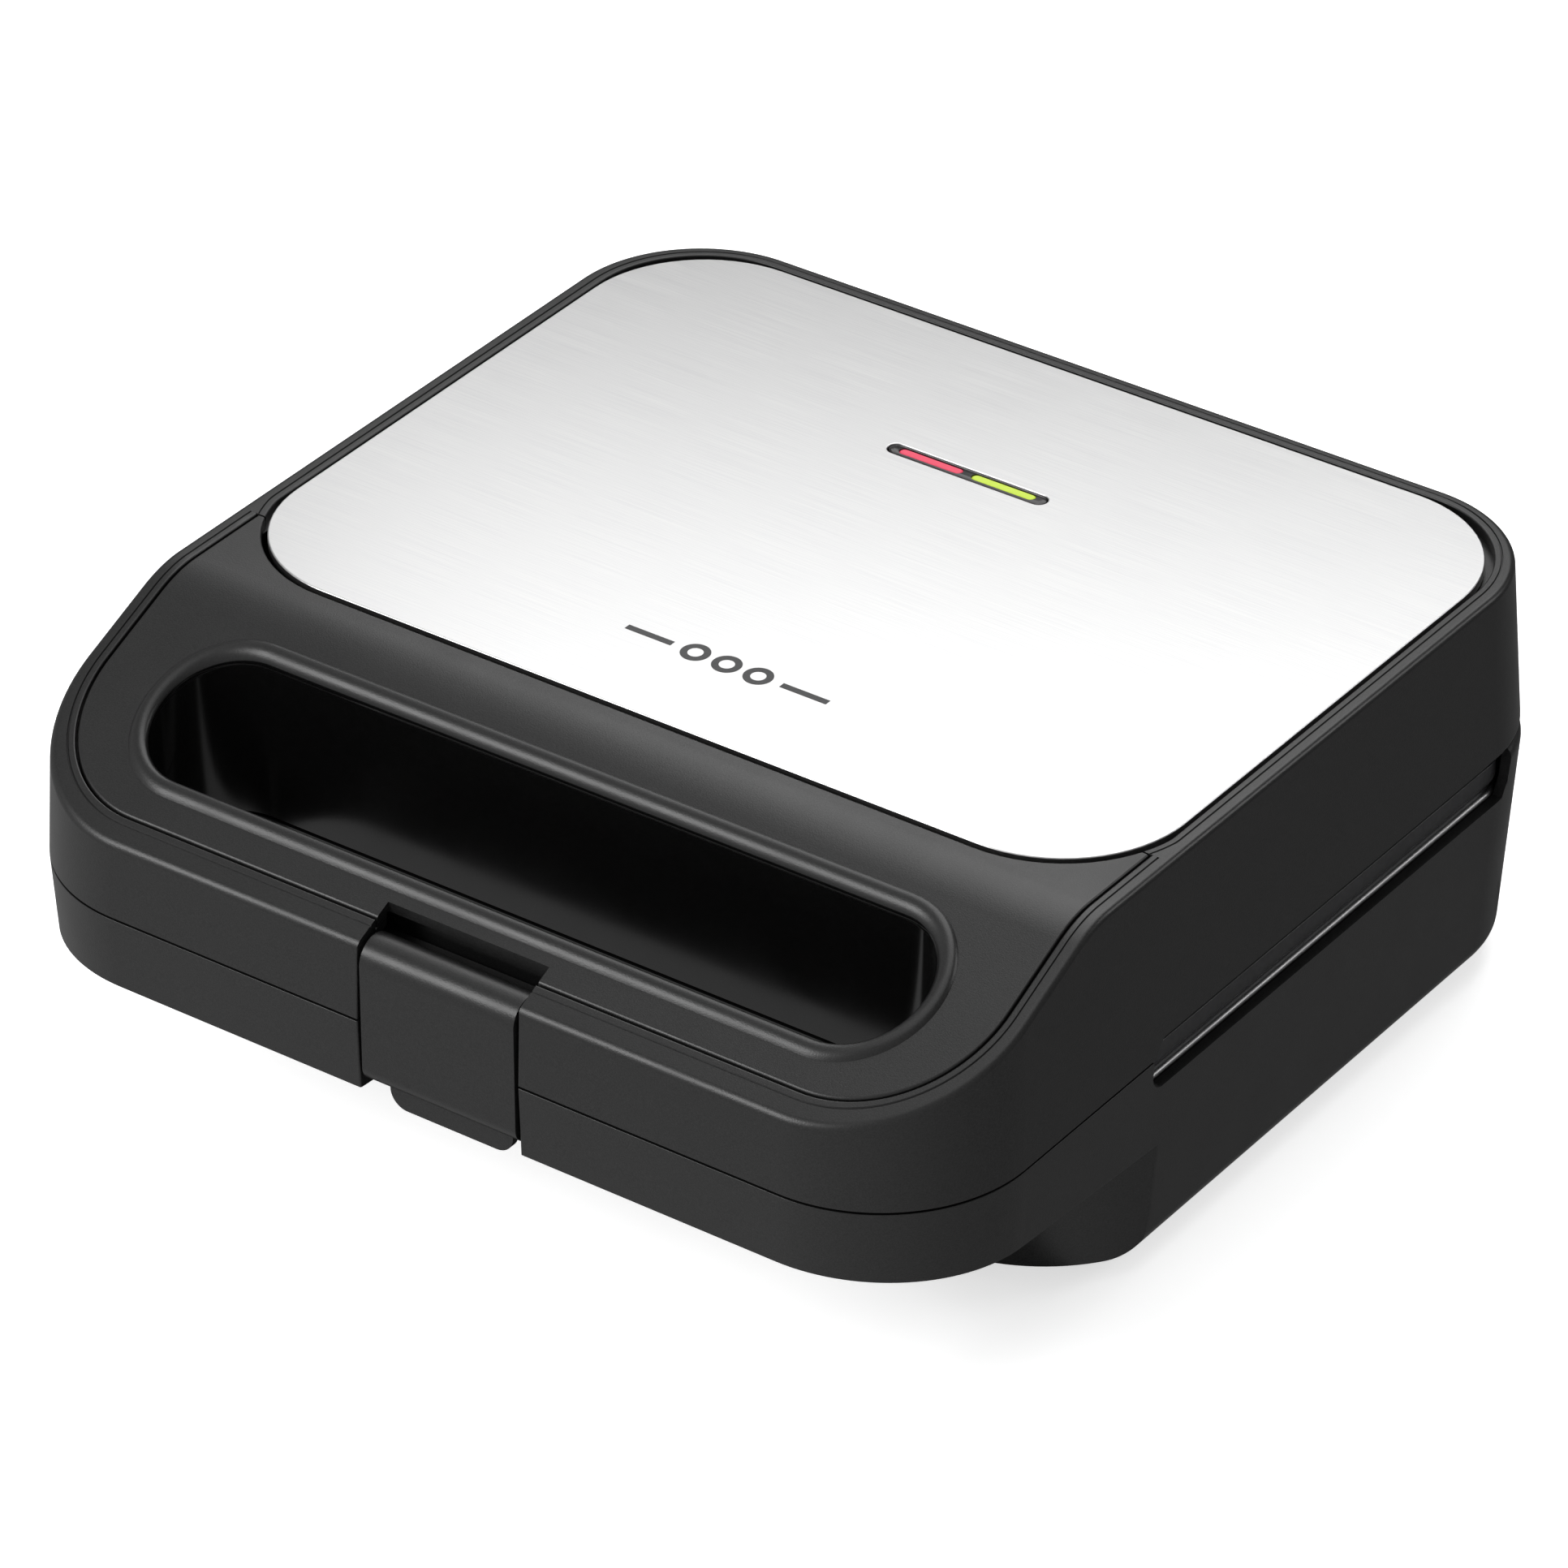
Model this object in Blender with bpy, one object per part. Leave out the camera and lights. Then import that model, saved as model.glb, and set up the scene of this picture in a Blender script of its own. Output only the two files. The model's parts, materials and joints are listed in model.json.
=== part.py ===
"""Donut maker: a hinged electric baking iron with six ring cavities in each plate.

The lid and the base are separate shells joined by two hinge barrels at the back. A latch on the front
handle swings on its own pin. Sizes below are in millimetres; the meshes are written in metres.
Origin: floor level, at the centre of the bounding box. +Z is up and the handle faces -Y.
"""

import bpy
import bmesh
from math import cos, sin, tan, pi, radians, sqrt
from mathutils import Matrix, Vector

MM = 0.001

# ---- named clearances -------------------------------------------------------------------------------
GAP = 0.3                   # between pieces that touch or seat on each other
PARTING = 0.3               # between the lid's edge and the base's edge
PANEL_GAP = 1.2             # shadow gap round the steel panel
COVER_GAP = 0.5             # groove between the lid frame and the handle cover
PIN_PLAY = 0.1              # radial play of a pin in its bore

# ---- overall sizes ----------------------------------------------------------------------------------
BODY_WIDTH = 224.6          # widest, at the parting line
BODY_DEPTH = 230.6          # handle face to back wall, at the parting line
TOTAL_HEIGHT = 93.0
FOOT_HEIGHT = 5.0
CORNER_FRONT = 33.0
CORNER_BACK = 30.0
WALL = 2.2
PARTING_DROP = 42.0         # from the top down to the parting line at the handle
REAR_DROP = 45.0            # the same, behind the plates

# ---- drafts: how much narrower the shells are at their far edges -------------------------------------
SIDE_DRAFT_TOP = 1.3
BACK_DRAFT_TOP = 3.7
FRONT_DRAFT_TOP = 1.7
SIDE_DRAFT_BASE = 2.6
BACK_DRAFT_BASE = 1.8
FRONT_DRAFT_BASE = 1.6

# ---- sloping handle top -----------------------------------------------------------------------------
SLOPE = 0.44                # fall per millimetre towards the front
BEND_SETBACK = 56.8         # from the handle face back to where the slope begins
BEND_HALF = 5.5             # half length of the rounded bend
RIM_DROP = 0.2              # rim below the panel's top
RIM_SIDE, RIM_FRONT, RIM_BACK = 4.3, 5.8, 3.7
RIM_FILLET = 2.0
RIM_DEPTH = 2.4             # from the rim's top down to the ledge
LEDGE = 3.4

# ---- steel panel and lamps --------------------------------------------------------------------------
PANEL_WIDTH = 212.0
PANEL_DEPTH = 156.0
PANEL_CORNER = 28.0
PANEL_FRONT_SETBACK = 66.3  # from the handle face to the panel's front edge
SHEET = 0.7
PANEL_SKIRT = 1.8
HORN_REACH = 16.0           # how far the cover's ends run back past the panel's front edge
LENS_LENGTH, LENS_WIDTH = 38.0, 3.6
LENS_FROM_PANEL_CENTRE = 32.4
LAMP_RADIUS = 1.5
LAMP_LENGTH = 14.0
HOLDER_WALL = 1.2
HOLDER_DEPTH = 6.0

# ---- handle opening and latch -----------------------------------------------------------------------
GRIP_HALF = 75.6            # half length of the opening's straight sides
GRIP_RADIUS = 14.7
GRIP_SETBACK = 31.3         # from the handle face to the opening's centre line
GRIP_LIP = 2.6
TUBE_WALL = 2.0
RECESS_WIDTH = 38.2
RECESS_BACK = 10.6          # depth of the latch recess in the lid
RECESS_BASE = 8.0           # and in the base
LATCH_SIDE_GAP = 1.2
LATCH_BARREL = 5.0
LATCH_DROP = 29.5           # pin axis below the top
LATCH_THICK = 3.0
LATCH_LENGTH = 27.0
TAB_LENGTH = 32.5
TAB_SETBACK = 3.9
TAB_THICK = 2.0
TAB_NARROWER = 3.6
HOOK = 2.7
LATCH_PIN_RADIUS = 1.5

# ---- baking plates ----------------------------------------------------------------------------------
PLATE_WIDTH = 218.6
PLATE_SETBACK = 72.3        # from the handle face to the plates' front edge
PLATE_DEPTH = 138.0
PLATE_CORNER = 14.0
PLATE_FACE_DROP = 47.2      # from the top down to the line between the two plates
PLATE_SLAB = 2.6
PLATE_SPLIT = 0.8           # gap between the closed plates
UPPER_SKIRT = 4.5
RING_MAJOR = 19.0
RING_MINOR = 10.0
RING_WALL = 2.2
RING_PITCH_X = 66.0
RING_PITCH_Y = 62.0
COLUMNS, ROWS = 3, 2
BOSS_RADIUS = 4.0
BOSS_LENGTH = 17.0
BOSS_INSET = 6.0
SCREW_RADIUS = 1.8
SCREW_HEAD = 3.5
SCREW_LENGTH = 10.0
HEATER_RADIUS = 3.2
REFLECTOR_SHEET = 0.8
REFLECTOR_LIP = 4.0

# ---- openings for the plates in the side walls -------------------------------------------------------
GAP_FRONT_SETBACK = 80.3    # handle face to the front end of the side gap
GAP_LENGTH = 122.0
GAP_TOP_DROP = 38.1
GAP_BOTTOM_DROP = 49.5
GAP_SLANT = 3.8

# ---- base -------------------------------------------------------------------------------------------
FLOOR = 2.5
FOOT_FILLET = 4.0
HANDLE_BASE_DROP = 57.8     # underside of the handle, at its front
UNDERSIDE_SLOPE = 0.075
TUB_SETBACK = 54.3          # handle face to the tub's front wall, under the handle
TUB_CORNER = 38.0
FOOT_RADIUS = 8.0
FOOT_INSET_X, FOOT_INSET_Y = 24.0, 26.0
STUD_RADIUS = 3.0
BUSH_RADIUS = 7.0
BUSH_BORE = 3.6
BUSH_HEIGHT = 22.0
BUSH_OUT = 4.0
VENTS = 7
VENT_LENGTH, VENT_WIDTH, VENT_PITCH = 46.0, 4.0, 10.0

# ---- hinge ------------------------------------------------------------------------------------------
HINGE_OFFSET = 6.7          # axis behind the back wall
HINGE_RADIUS = 5.5
HINGE_PIN = 2.0
HINGE_CENTRE = 65.0
LID_KNUCKLE = 13.4          # width of the lid's knuckle
EAR_WIDTH = 6.0

# ---- places worked out from the sizes above ---------------------------------------------------------
HALF = BODY_WIDTH / 2
FRONT = -(BODY_DEPTH + HINGE_OFFSET + HINGE_RADIUS) / 2
BACK = FRONT + BODY_DEPTH
TOP = TOTAL_HEIGHT
SPLIT = TOP - PARTING_DROP
REAR_SPLIT = TOP - REAR_DROP
HINGE_Y = BACK + HINGE_OFFSET
HINGE_Z = REAR_SPLIT
PANEL_FRONT = FRONT + PANEL_FRONT_SETBACK
PANEL_Y = PANEL_FRONT + PANEL_DEPTH / 2
BEND_Y = FRONT + BEND_SETBACK
GRIP_Y = FRONT + GRIP_SETBACK
PLATE_FRONT = FRONT + PLATE_SETBACK
PLATE_BACK = PLATE_FRONT + PLATE_DEPTH
PLATE_Y = (PLATE_FRONT + PLATE_BACK) / 2
LATCH_Y = FRONT + LATCH_BARREL + 0.1
LATCH_Z = TOP - LATCH_DROP
GAP_FRONT = FRONT + GAP_FRONT_SETBACK
GAP_BACK = GAP_FRONT + GAP_LENGTH
TUB_FRONT = FRONT + TUB_SETBACK
FAR = 400.0                 # cutters run this far past the object

ARC_STEPS = 7


# ---- materials --------------------------------------------------------------------------------------
def material(name, colour, roughness, metallic=0.0):
    """One plain Principled finish."""
    made = bpy.data.materials.new(name)
    made.use_nodes = True
    shader = made.node_tree.nodes["Principled BSDF"]
    shader.inputs["Base Color"].default_value = (*colour, 1.0)
    shader.inputs["Roughness"].default_value = roughness
    shader.inputs["Metallic"].default_value = metallic
    return made


def make_materials():
    return {
        "black_plastic": material("black_plastic", (0.02, 0.02, 0.02), 0.5),
        "brushed_steel": material("brushed_steel", (0.7, 0.7, 0.7), 0.3, 1.0),
        "smoked_lens": material("smoked_lens", (0.03, 0.03, 0.03), 0.1),
        "red_lamp": material("red_lamp", (0.8, 0.12, 0.12), 0.2),
        "green_lamp": material("green_lamp", (0.55, 0.8, 0.15), 0.2),
        "coated_aluminium": material("coated_aluminium", (0.03, 0.03, 0.03), 0.35, 0.6),
        "plain_steel": material("plain_steel", (0.6, 0.6, 0.6), 0.35, 1.0),
        "rubber": material("rubber", (0.03, 0.03, 0.03), 0.8),
        "ceramic": material("ceramic", (0.8, 0.78, 0.72), 0.6),
        "wire_sleeve": material("wire_sleeve", (0.7, 0.68, 0.62), 0.7),
    }


# ---- mesh helpers -----------------------------------------------------------------------------------
def add_object(name, bm, finish=None):
    """Turns a bmesh in millimetres into an object in metres, with its faces pointing out."""
    bmesh.ops.recalc_face_normals(bm, faces=bm.faces)
    bmesh.ops.scale(bm, vec=(MM, MM, MM), verts=bm.verts)
    mesh = bpy.data.meshes.new(name)
    bm.to_mesh(mesh)
    bm.free()
    made = bpy.data.objects.new(name, mesh)
    bpy.context.scene.collection.objects.link(made)
    if finish:
        mesh.materials.append(finish)
    return made


def loft(name, rings, finish=None, ring_of_rings=False):
    """Skins a list of rings of equal length. The ends are capped unless the rings close on themselves."""
    bm = bmesh.new()
    loops = [[bm.verts.new(point) for point in ring] for ring in rings]
    pairs = list(zip(loops, loops[1:]))
    if ring_of_rings:
        pairs.append((loops[-1], loops[0]))
    for low, high in pairs:
        count = len(low)
        for i in range(count):
            j = (i + 1) % count
            bm.faces.new((low[i], low[j], high[j], high[i]))
    if not ring_of_rings:
        bm.faces.new(loops[0])
        bm.faces.new(loops[-1])
    return add_object(name, bm, finish)


def prism(name, outline, low, high, finish=None):
    """An upright prism over an outline of (x, y) points."""
    return loft(name, [[(x, y, z) for x, y in outline] for z in (low, high)], finish)


def box(name, low, high, finish=None):
    outline = [(low[0], low[1]), (high[0], low[1]), (high[0], high[1]), (low[0], high[1])]
    return prism(name, outline, low[2], high[2], finish)


def side_prism(name, outline, low, high, finish=None):
    """A prism along X over an outline of (y, z) points."""
    return loft(name, [[(x, y, z) for y, z in outline] for x in (low, high)], finish)


def arc(centre, radius, start, end, steps):
    """Points on a circle arc; angles in degrees, ends included."""
    turns = [radians(start + (end - start) * i / steps) for i in range(steps + 1)]
    return [(centre[0] + radius * cos(t), centre[1] + radius * sin(t)) for t in turns]


def rounded_rect(half, front, back, radius, steps=ARC_STEPS):
    """A rectangle with round corners, as (x, y) points, anticlockwise from the front right corner."""
    points = []
    corners = ((half, front, -90), (half, back, 0), (-half, back, 90), (-half, front, 180))
    for x, y, start in corners:
        centre = (x - radius * (1 if x > 0 else -1), y + radius * (1 if y == front else -1))
        points += arc(centre, radius, start, start + 90, steps)
    return points


def stadium(half, centre_y, radius, steps=10):
    """A slot outline with round ends along X."""
    right = arc((half, centre_y), radius, -90, 90, steps)
    left = arc((-half, centre_y), radius, 90, 270, steps)
    return right + left


def lathe(name, profile, place, finish=None, steps=20, turn=None):
    """Turns a closed (radius, z) profile round the Z axis. Points at radius 0 join into one."""
    bm = bmesh.new()
    columns = []
    for i in range(steps):
        angle = 2 * pi * i / steps
        columns.append([bm.verts.new((r * cos(angle), r * sin(angle), z)) for r, z in profile])
    count = len(profile)
    for i in range(steps):
        here, there = columns[i], columns[(i + 1) % steps]
        for j in range(count):
            k = (j + 1) % count
            if profile[j][0] == 0 and profile[k][0] == 0:
                continue
            bm.faces.new((here[j], there[j], there[k], here[k]))
    bmesh.ops.remove_doubles(bm, verts=bm.verts, dist=1e-5)
    if turn:
        bmesh.ops.transform(bm, matrix=turn, verts=bm.verts)
    bmesh.ops.translate(bm, vec=place, verts=bm.verts)
    return add_object(name, bm, finish)


def rod(name, start, end, radius, finish=None, steps=20):
    """A plain round bar between two points."""
    start, end = Vector(start), Vector(end)
    length = (end - start).length
    turn = (end - start).to_track_quat("Z", "Y").to_matrix().to_4x4()
    profile = [(0, 0), (radius, 0), (radius, length), (0, length)]
    return lathe(name, profile, start, finish, steps, turn)


def tube_along(name, points, radius, finish, sides=8):
    """A round lead or element along a smooth route."""
    curve = bpy.data.curves.new(name, "CURVE")
    curve.dimensions = "3D"
    curve.bevel_depth = radius * MM
    curve.bevel_resolution = sides // 4
    curve.use_fill_caps = True
    spline = curve.splines.new("POLY")
    spline.points.add(len(points) - 1)
    for spot, point in zip(spline.points, points):
        spot.co = (*[value * MM for value in point], 1.0)
    made = bpy.data.objects.new(name, curve)
    bpy.context.scene.collection.objects.link(made)
    curve.materials.append(finish)
    return made


def combine(target, other, operation):
    """Applies an exact Boolean and removes the helper."""
    modifier = target.modifiers.new(operation, "BOOLEAN")
    modifier.operation = operation
    modifier.solver = "EXACT"
    modifier.object = other
    graph = bpy.context.evaluated_depsgraph_get()
    mesh = bpy.data.meshes.new_from_object(target.evaluated_get(graph))
    target.modifiers.clear()
    old = target.data
    target.data = mesh
    bpy.data.meshes.remove(old)
    bpy.data.objects.remove(other)


def cut(target, *others):
    for other in others:
        combine(target, other, "DIFFERENCE")


def join(target, *others):
    for other in others:
        combine(target, other, "UNION")


def keep(target, other):
    combine(target, other, "INTERSECT")


def shade(made, sharp_degrees=35):
    """Smooth shading with sharp edges kept."""
    if made.type == "MESH":
        made.data.shade_smooth()
        made.data.set_sharp_from_angle(angle=radians(sharp_degrees))


# ---- the body's outline -----------------------------------------------------------------------------
def top_height(y):
    """Height of the lid's top surface: level at the back, sloping down to the handle."""
    fall = BEND_Y - y
    if fall <= -BEND_HALF:
        return TOP - RIM_DROP
    if fall >= BEND_HALF:
        return TOP - RIM_DROP - SLOPE * fall
    return TOP - RIM_DROP - SLOPE * (fall + BEND_HALF) ** 2 / (4 * BEND_HALF)


def draft(z, side):
    """How far the wall has leaned in at height z."""
    above = max(0.0, (z - SPLIT) / PARTING_DROP)
    below = max(0.0, (SPLIT - z) / (SPLIT - FOOT_HEIGHT))
    top = {"side": SIDE_DRAFT_TOP, "back": BACK_DRAFT_TOP, "front": FRONT_DRAFT_TOP}[side]
    base = {"side": SIDE_DRAFT_BASE, "back": BACK_DRAFT_BASE, "front": FRONT_DRAFT_BASE}[side]
    return top * above + base * below


def stations():
    """Places round the outline: corner angles, and the breaks along each straight side."""
    front_end, back_start = FRONT + CORNER_FRONT, BACK - CORNER_BACK
    bend = [BEND_Y - BEND_HALF, BEND_Y - BEND_HALF / 2, BEND_Y, BEND_Y + BEND_HALF / 2, BEND_Y + BEND_HALF]
    horn = PANEL_FRONT + HORN_REACH
    tangent = PANEL_FRONT + PANEL_CORNER
    meet = [horn - 0.1, horn, (horn * 2 + tangent) / 3, (horn + tangent * 2) / 3, tangent]
    gap = [GAP_FRONT - GAP_SLANT, GAP_FRONT, GAP_BACK, GAP_BACK + GAP_SLANT]
    sides = sorted(y for y in bend + meet + gap if front_end + 1 < y < back_start - 1)
    sides = [y for i, y in enumerate(sides) if i == 0 or y - sides[i - 1] > 0.05]
    places = [("arc", 1, "front", a) for a in range(-90, 1, 10)]
    places += [("side", 1, y) for y in sides]
    places += [("arc", 1, "back", a) for a in range(0, 91, 10)]
    places += [("arc", -1, "back", a) for a in range(90, 181, 10)]
    places += [("side", -1, y) for y in reversed(sides)]
    places += [("arc", -1, "front", a) for a in range(180, 271, 10)]
    return places


def wall_point(place, inset, z):
    """The (x, y) of a station at height z; inset is (side, front, back), measured inwards."""
    half = HALF - draft(z, "side") - inset[0]
    if place[0] == "side":
        return place[1] * half, place[2]
    if place[2] == "front":
        edge = FRONT + draft(z, "front") + inset[1]
        radius = CORNER_FRONT - (inset[0] + inset[1]) / 2
        centre_y = edge + radius
    else:
        edge = BACK - draft(z, "back") - inset[2]
        radius = CORNER_BACK - (inset[0] + inset[2]) / 2
        centre_y = edge - radius
    angle = radians(place[3])
    return place[1] * (half - radius) + radius * cos(angle), centre_y + radius * sin(angle)


def ring_at(inset, height):
    """One ring of the body's skin. height is a number, or a function of y."""
    if not isinstance(inset, tuple):
        inset = (inset, inset, inset)
    ring = []
    for place in stations():
        z = height if not callable(height) else TOP
        for _ in range(3):
            x, y = wall_point(place, inset, z)
            z = height(y) if callable(height) else height
        ring.append((x, y, z))
    return ring


def panel_outline(grow):
    """The steel panel's outline, grown evenly."""
    return rounded_rect(PANEL_WIDTH / 2 + grow, PANEL_FRONT - grow, PANEL_FRONT + PANEL_DEPTH + grow,
                        PANEL_CORNER + grow)


def keep_to_panel(ring, grow):
    """Behind the handle cover's ends, the frame's inner edge follows the panel's round corner."""
    centre_x = PANEL_WIDTH / 2 - PANEL_CORNER
    centre_y = PANEL_FRONT + PANEL_CORNER
    moved = []
    for x, y, z in ring:
        if PANEL_FRONT + HORN_REACH - 0.01 < y < centre_y + 0.01:
            limit = centre_x + sqrt((PANEL_CORNER + grow) ** 2 - (centre_y - y) ** 2)
            x = min(abs(x), limit) * (1 if x > 0 else -1)
        moved.append((x, y, z))
    return moved


# ---- lid --------------------------------------------------------------------------------------------
def lid_edge(y):
    """Height of the lid's lower edge: raised between the plates' ends, lower again at the back."""
    if y < GAP_FRONT - GAP_SLANT + 0.01:
        return SPLIT + PARTING / 2
    if GAP_FRONT - 0.01 < y < GAP_BACK + 0.01:
        return TOP - GAP_TOP_DROP
    return REAR_SPLIT + PARTING / 2


def knuckle(name, centre_x, width, upwards):
    """A hinge barrel with a web that runs into the lid's or the base's back wall."""
    sign = 1 if upwards else -1
    barrel = arc((HINGE_Y, HINGE_Z), HINGE_RADIUS, -180 * sign, 130 * sign, 16)
    far, near = HINGE_Z + sign * 13.0, HINGE_Z + sign * 2.5
    web = [(BACK - draft(z, "back") - WALL / 2, z) for z in (far, near)]
    return side_prism(name, barrel + web, centre_x - width / 2, centre_x + width / 2)


def hinge_bore(centre_x, width):
    start, end = (centre_x - width, HINGE_Y, HINGE_Z), (centre_x + width, HINGE_Y, HINGE_Z)
    return rod("bore", start, end, HINGE_PIN + PIN_PLAY)


def recess_box(depth, low, high, grow=0.0):
    """The latch's recess, open to the front."""
    half = RECESS_WIDTH / 2 + grow
    return box("recess", (-half, FRONT - FAR, low), (half, FRONT + depth + grow, high))


def make_lid_housing(finish):
    rim = (RIM_SIDE, RIM_FRONT, RIM_BACK)
    inner = tuple(value + LEDGE for value in rim)

    def below(depth):
        return lambda y: top_height(y) - depth

    fillet = [(RIM_FILLET * (1 - cos(radians(a))), RIM_FILLET * (1 - sin(radians(a)))) for a in (0, 30, 60, 90)]
    rings = [ring_at(0, lid_edge)]
    rings += [ring_at(inset, below(depth)) for inset, depth in fillet]
    rings += [keep_to_panel(ring_at(rim, below(depth)), PANEL_GAP) for depth in (0, RIM_DEPTH)]
    rings += [keep_to_panel(ring_at(inner, below(depth)), PANEL_GAP - LEDGE)
              for depth in (RIM_DEPTH, RIM_DEPTH + WALL)]
    rings += [ring_at(WALL, below(RIM_DEPTH + WALL)), ring_at(WALL, lid_edge)]
    lid = loft("lid_housing", rings, finish, ring_of_rings=True)
    cheek = WALL + 1.3
    block_top = top_height(FRONT) - RIM_DEPTH - 0.6
    half = RECESS_WIDTH / 2 + cheek
    join(lid, box("cheeks", (-half, FRONT + 1.2, SPLIT + PARTING / 2),
                  (half, FRONT + RECESS_BACK + WALL, block_top)))
    cut(lid, recess_box(RECESS_BACK, -FAR, FAR))
    cut(lid, rod("pin_bore", (-half + 1.0, LATCH_Y, LATCH_Z), (half - 1.0, LATCH_Y, LATCH_Z),
                 LATCH_PIN_RADIUS + PIN_PLAY, steps=16))
    for side in (-1, 1):
        join(lid, knuckle("knuckle", side * HINGE_CENTRE, LID_KNUCKLE, True))
        cut(lid, hinge_bore(side * HINGE_CENTRE, LID_KNUCKLE))
    return lid


def slope_profile(y0, y1, top_depth, bottom):
    """A (y, z) outline under the lid's top surface; bottom is a depth function or a level."""
    marks = [y0] + [BEND_Y + BEND_HALF * i / 3 for i in range(-3, 4) if y0 < BEND_Y + BEND_HALF * i / 3 < y1] + [y1]
    upper = [(y, top_height(y) - top_depth) for y in marks]
    lower = [(y, bottom(y)) for y in reversed(marks)] if callable(bottom) else [(y1, bottom), (y0, bottom)]
    return upper + lower


def make_handle_cover(finish):
    """Sloping handle skin with the grip opening's lip and tube."""
    rim = (RIM_SIDE + COVER_GAP, RIM_FRONT + COVER_GAP, RIM_BACK)
    outline = [(x, y) for x, y, _ in ring_at(rim, top_height)]
    rear = PANEL_FRONT + HORN_REACH - COVER_GAP
    cover = prism("handle_cover", outline, -FAR, FAR, finish)
    keep(cover, side_prism("skin", slope_profile(FRONT - 5, rear, 0, lambda y: top_height(y) - RIM_DEPTH + GAP),
                           -HALF, HALF))
    cut(cover, prism("panel_space", panel_outline(PANEL_GAP), -FAR, FAR))
    tube = prism("tube", stadium(GRIP_HALF, GRIP_Y, GRIP_RADIUS + TUBE_WALL), SPLIT + PARTING / 2 + GAP, FAR)
    keep(tube, side_prism("under", slope_profile(FRONT, BEND_Y, 0.6, 0.0), -HALF, HALF))
    join(cover, tube)
    steps = [(GRIP_RADIUS, lambda y: -FAR)]
    for angle in (0, 30, 60, 90):
        out = GRIP_LIP * (1 - cos(radians(angle)))
        down = GRIP_LIP * (1 - sin(radians(angle)))
        steps.append((GRIP_RADIUS + out, lambda y, down=down: top_height(y) - down))
    steps.append((GRIP_RADIUS + GRIP_LIP, lambda y: top_height(y) + 20))
    rings = [[(x, y, height(y)) for x, y in stadium(GRIP_HALF, GRIP_Y, radius)] for radius, height in steps]
    cut(cover, loft("grip", rings))
    cut(cover, recess_box(RECESS_BACK, -FAR, FAR))
    return cover


def lens_outline(grow):
    radius = LENS_WIDTH / 2 + grow
    return stadium(LENS_LENGTH / 2 - LENS_WIDTH / 2, PANEL_Y + LENS_FROM_PANEL_CENTRE, radius, 6)


def make_steel_panel(finish):
    """Pressed sheet with a turned-down edge and the lens slot."""
    levels = [(0.0, TOP - PANEL_SKIRT), (0.0, TOP - 0.7), (0.2, TOP - 0.2), (0.7, TOP)]
    panel = loft("steel_panel", [[(x, y, z) for x, y in panel_outline(-inset)] for inset, z in levels], finish)
    cut(panel, prism("inside", panel_outline(-SHEET), -FAR, TOP - SHEET))
    cut(panel, prism("slot", lens_outline(GAP), -FAR, FAR))
    return panel


def make_lamps(finishes):
    """Smoked lens bar, two lamps end to end, and the holder that carries them."""
    y = PANEL_Y + LENS_FROM_PANEL_CENTRE
    flange_top = TOP - SHEET - GAP
    lens = prism("indicator_lens", lens_outline(0), flange_top - 0.4, TOP, finishes["smoked_lens"])
    join(lens, prism("flange", lens_outline(1.8), flange_top - 0.9, flange_top))
    top = flange_top - 0.9 - GAP
    half = LENS_LENGTH / 2 + 3.0
    wide = LAMP_RADIUS + 2.2
    holder = box("lamp_holder", (-half, y - wide, top - HOLDER_DEPTH), (half, y + wide, top),
                 finishes["black_plastic"])
    for side in (-1, 1):
        near, far = sorted((side * HOLDER_WALL / 2, side * (half - HOLDER_WALL)))
        cut(holder, box("pocket", (near, y - wide + HOLDER_WALL, top - HOLDER_DEPTH + HOLDER_WALL),
                        (far, y + wide - HOLDER_WALL, top + 1)))
    z = top - 2.2
    lamps = []
    for name, side in (("power_lamp", -1), ("ready_lamp", 1)):
        start, end = side * 2.5, side * (2.5 + LAMP_LENGTH)
        finish = finishes["red_lamp" if side < 0 else "green_lamp"]
        lamps.append(rod(name, (start, y, z), (end, y, z), LAMP_RADIUS, finish, steps=14))
    return [lens, holder] + lamps


def upper_frame_opening():
    return rounded_rect(PLATE_WIDTH / 2 - 8.6, PLATE_FRONT + 4.0, PLATE_BACK - 4.0, PLATE_CORNER - 6)


def make_upper_frame(finish):
    """Inner surround of the lid: the handle's underside, the rails over the plate, and the rear strip."""
    low = SPLIT + PARTING / 2
    rail_low = TOP - PLATE_FACE_DROP + PLATE_SPLIT / 2 + UPPER_SKIRT + GAP
    outline = [(x, y) for x, y, _ in ring_at(WALL + 2 * GAP, rail_low + WALL)]
    frame = prism("upper_frame", outline, low, rail_low + WALL, finish)
    cut(frame, box("over_plate", (-FAR, PLATE_FRONT - GAP, -FAR), (FAR, FAR, rail_low)))
    rear_low = REAR_SPLIT + PARTING / 2
    rear = prism("rear", outline, rear_low, rail_low + 0.6)
    cut(rear, box("ahead", (-FAR, -FAR, -FAR), (FAR, PLATE_BACK + GAP, FAR)))
    join(frame, rear)
    cut(frame, prism("opening", upper_frame_opening(), -FAR, FAR))
    cut(frame, prism("grip", stadium(GRIP_HALF, GRIP_Y, GRIP_RADIUS + TUBE_WALL + GAP), -FAR, FAR))
    cut(frame, recess_box(RECESS_BACK + WALL + GAP, -FAR, FAR, 1.3 + WALL + GAP))
    return frame


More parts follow.
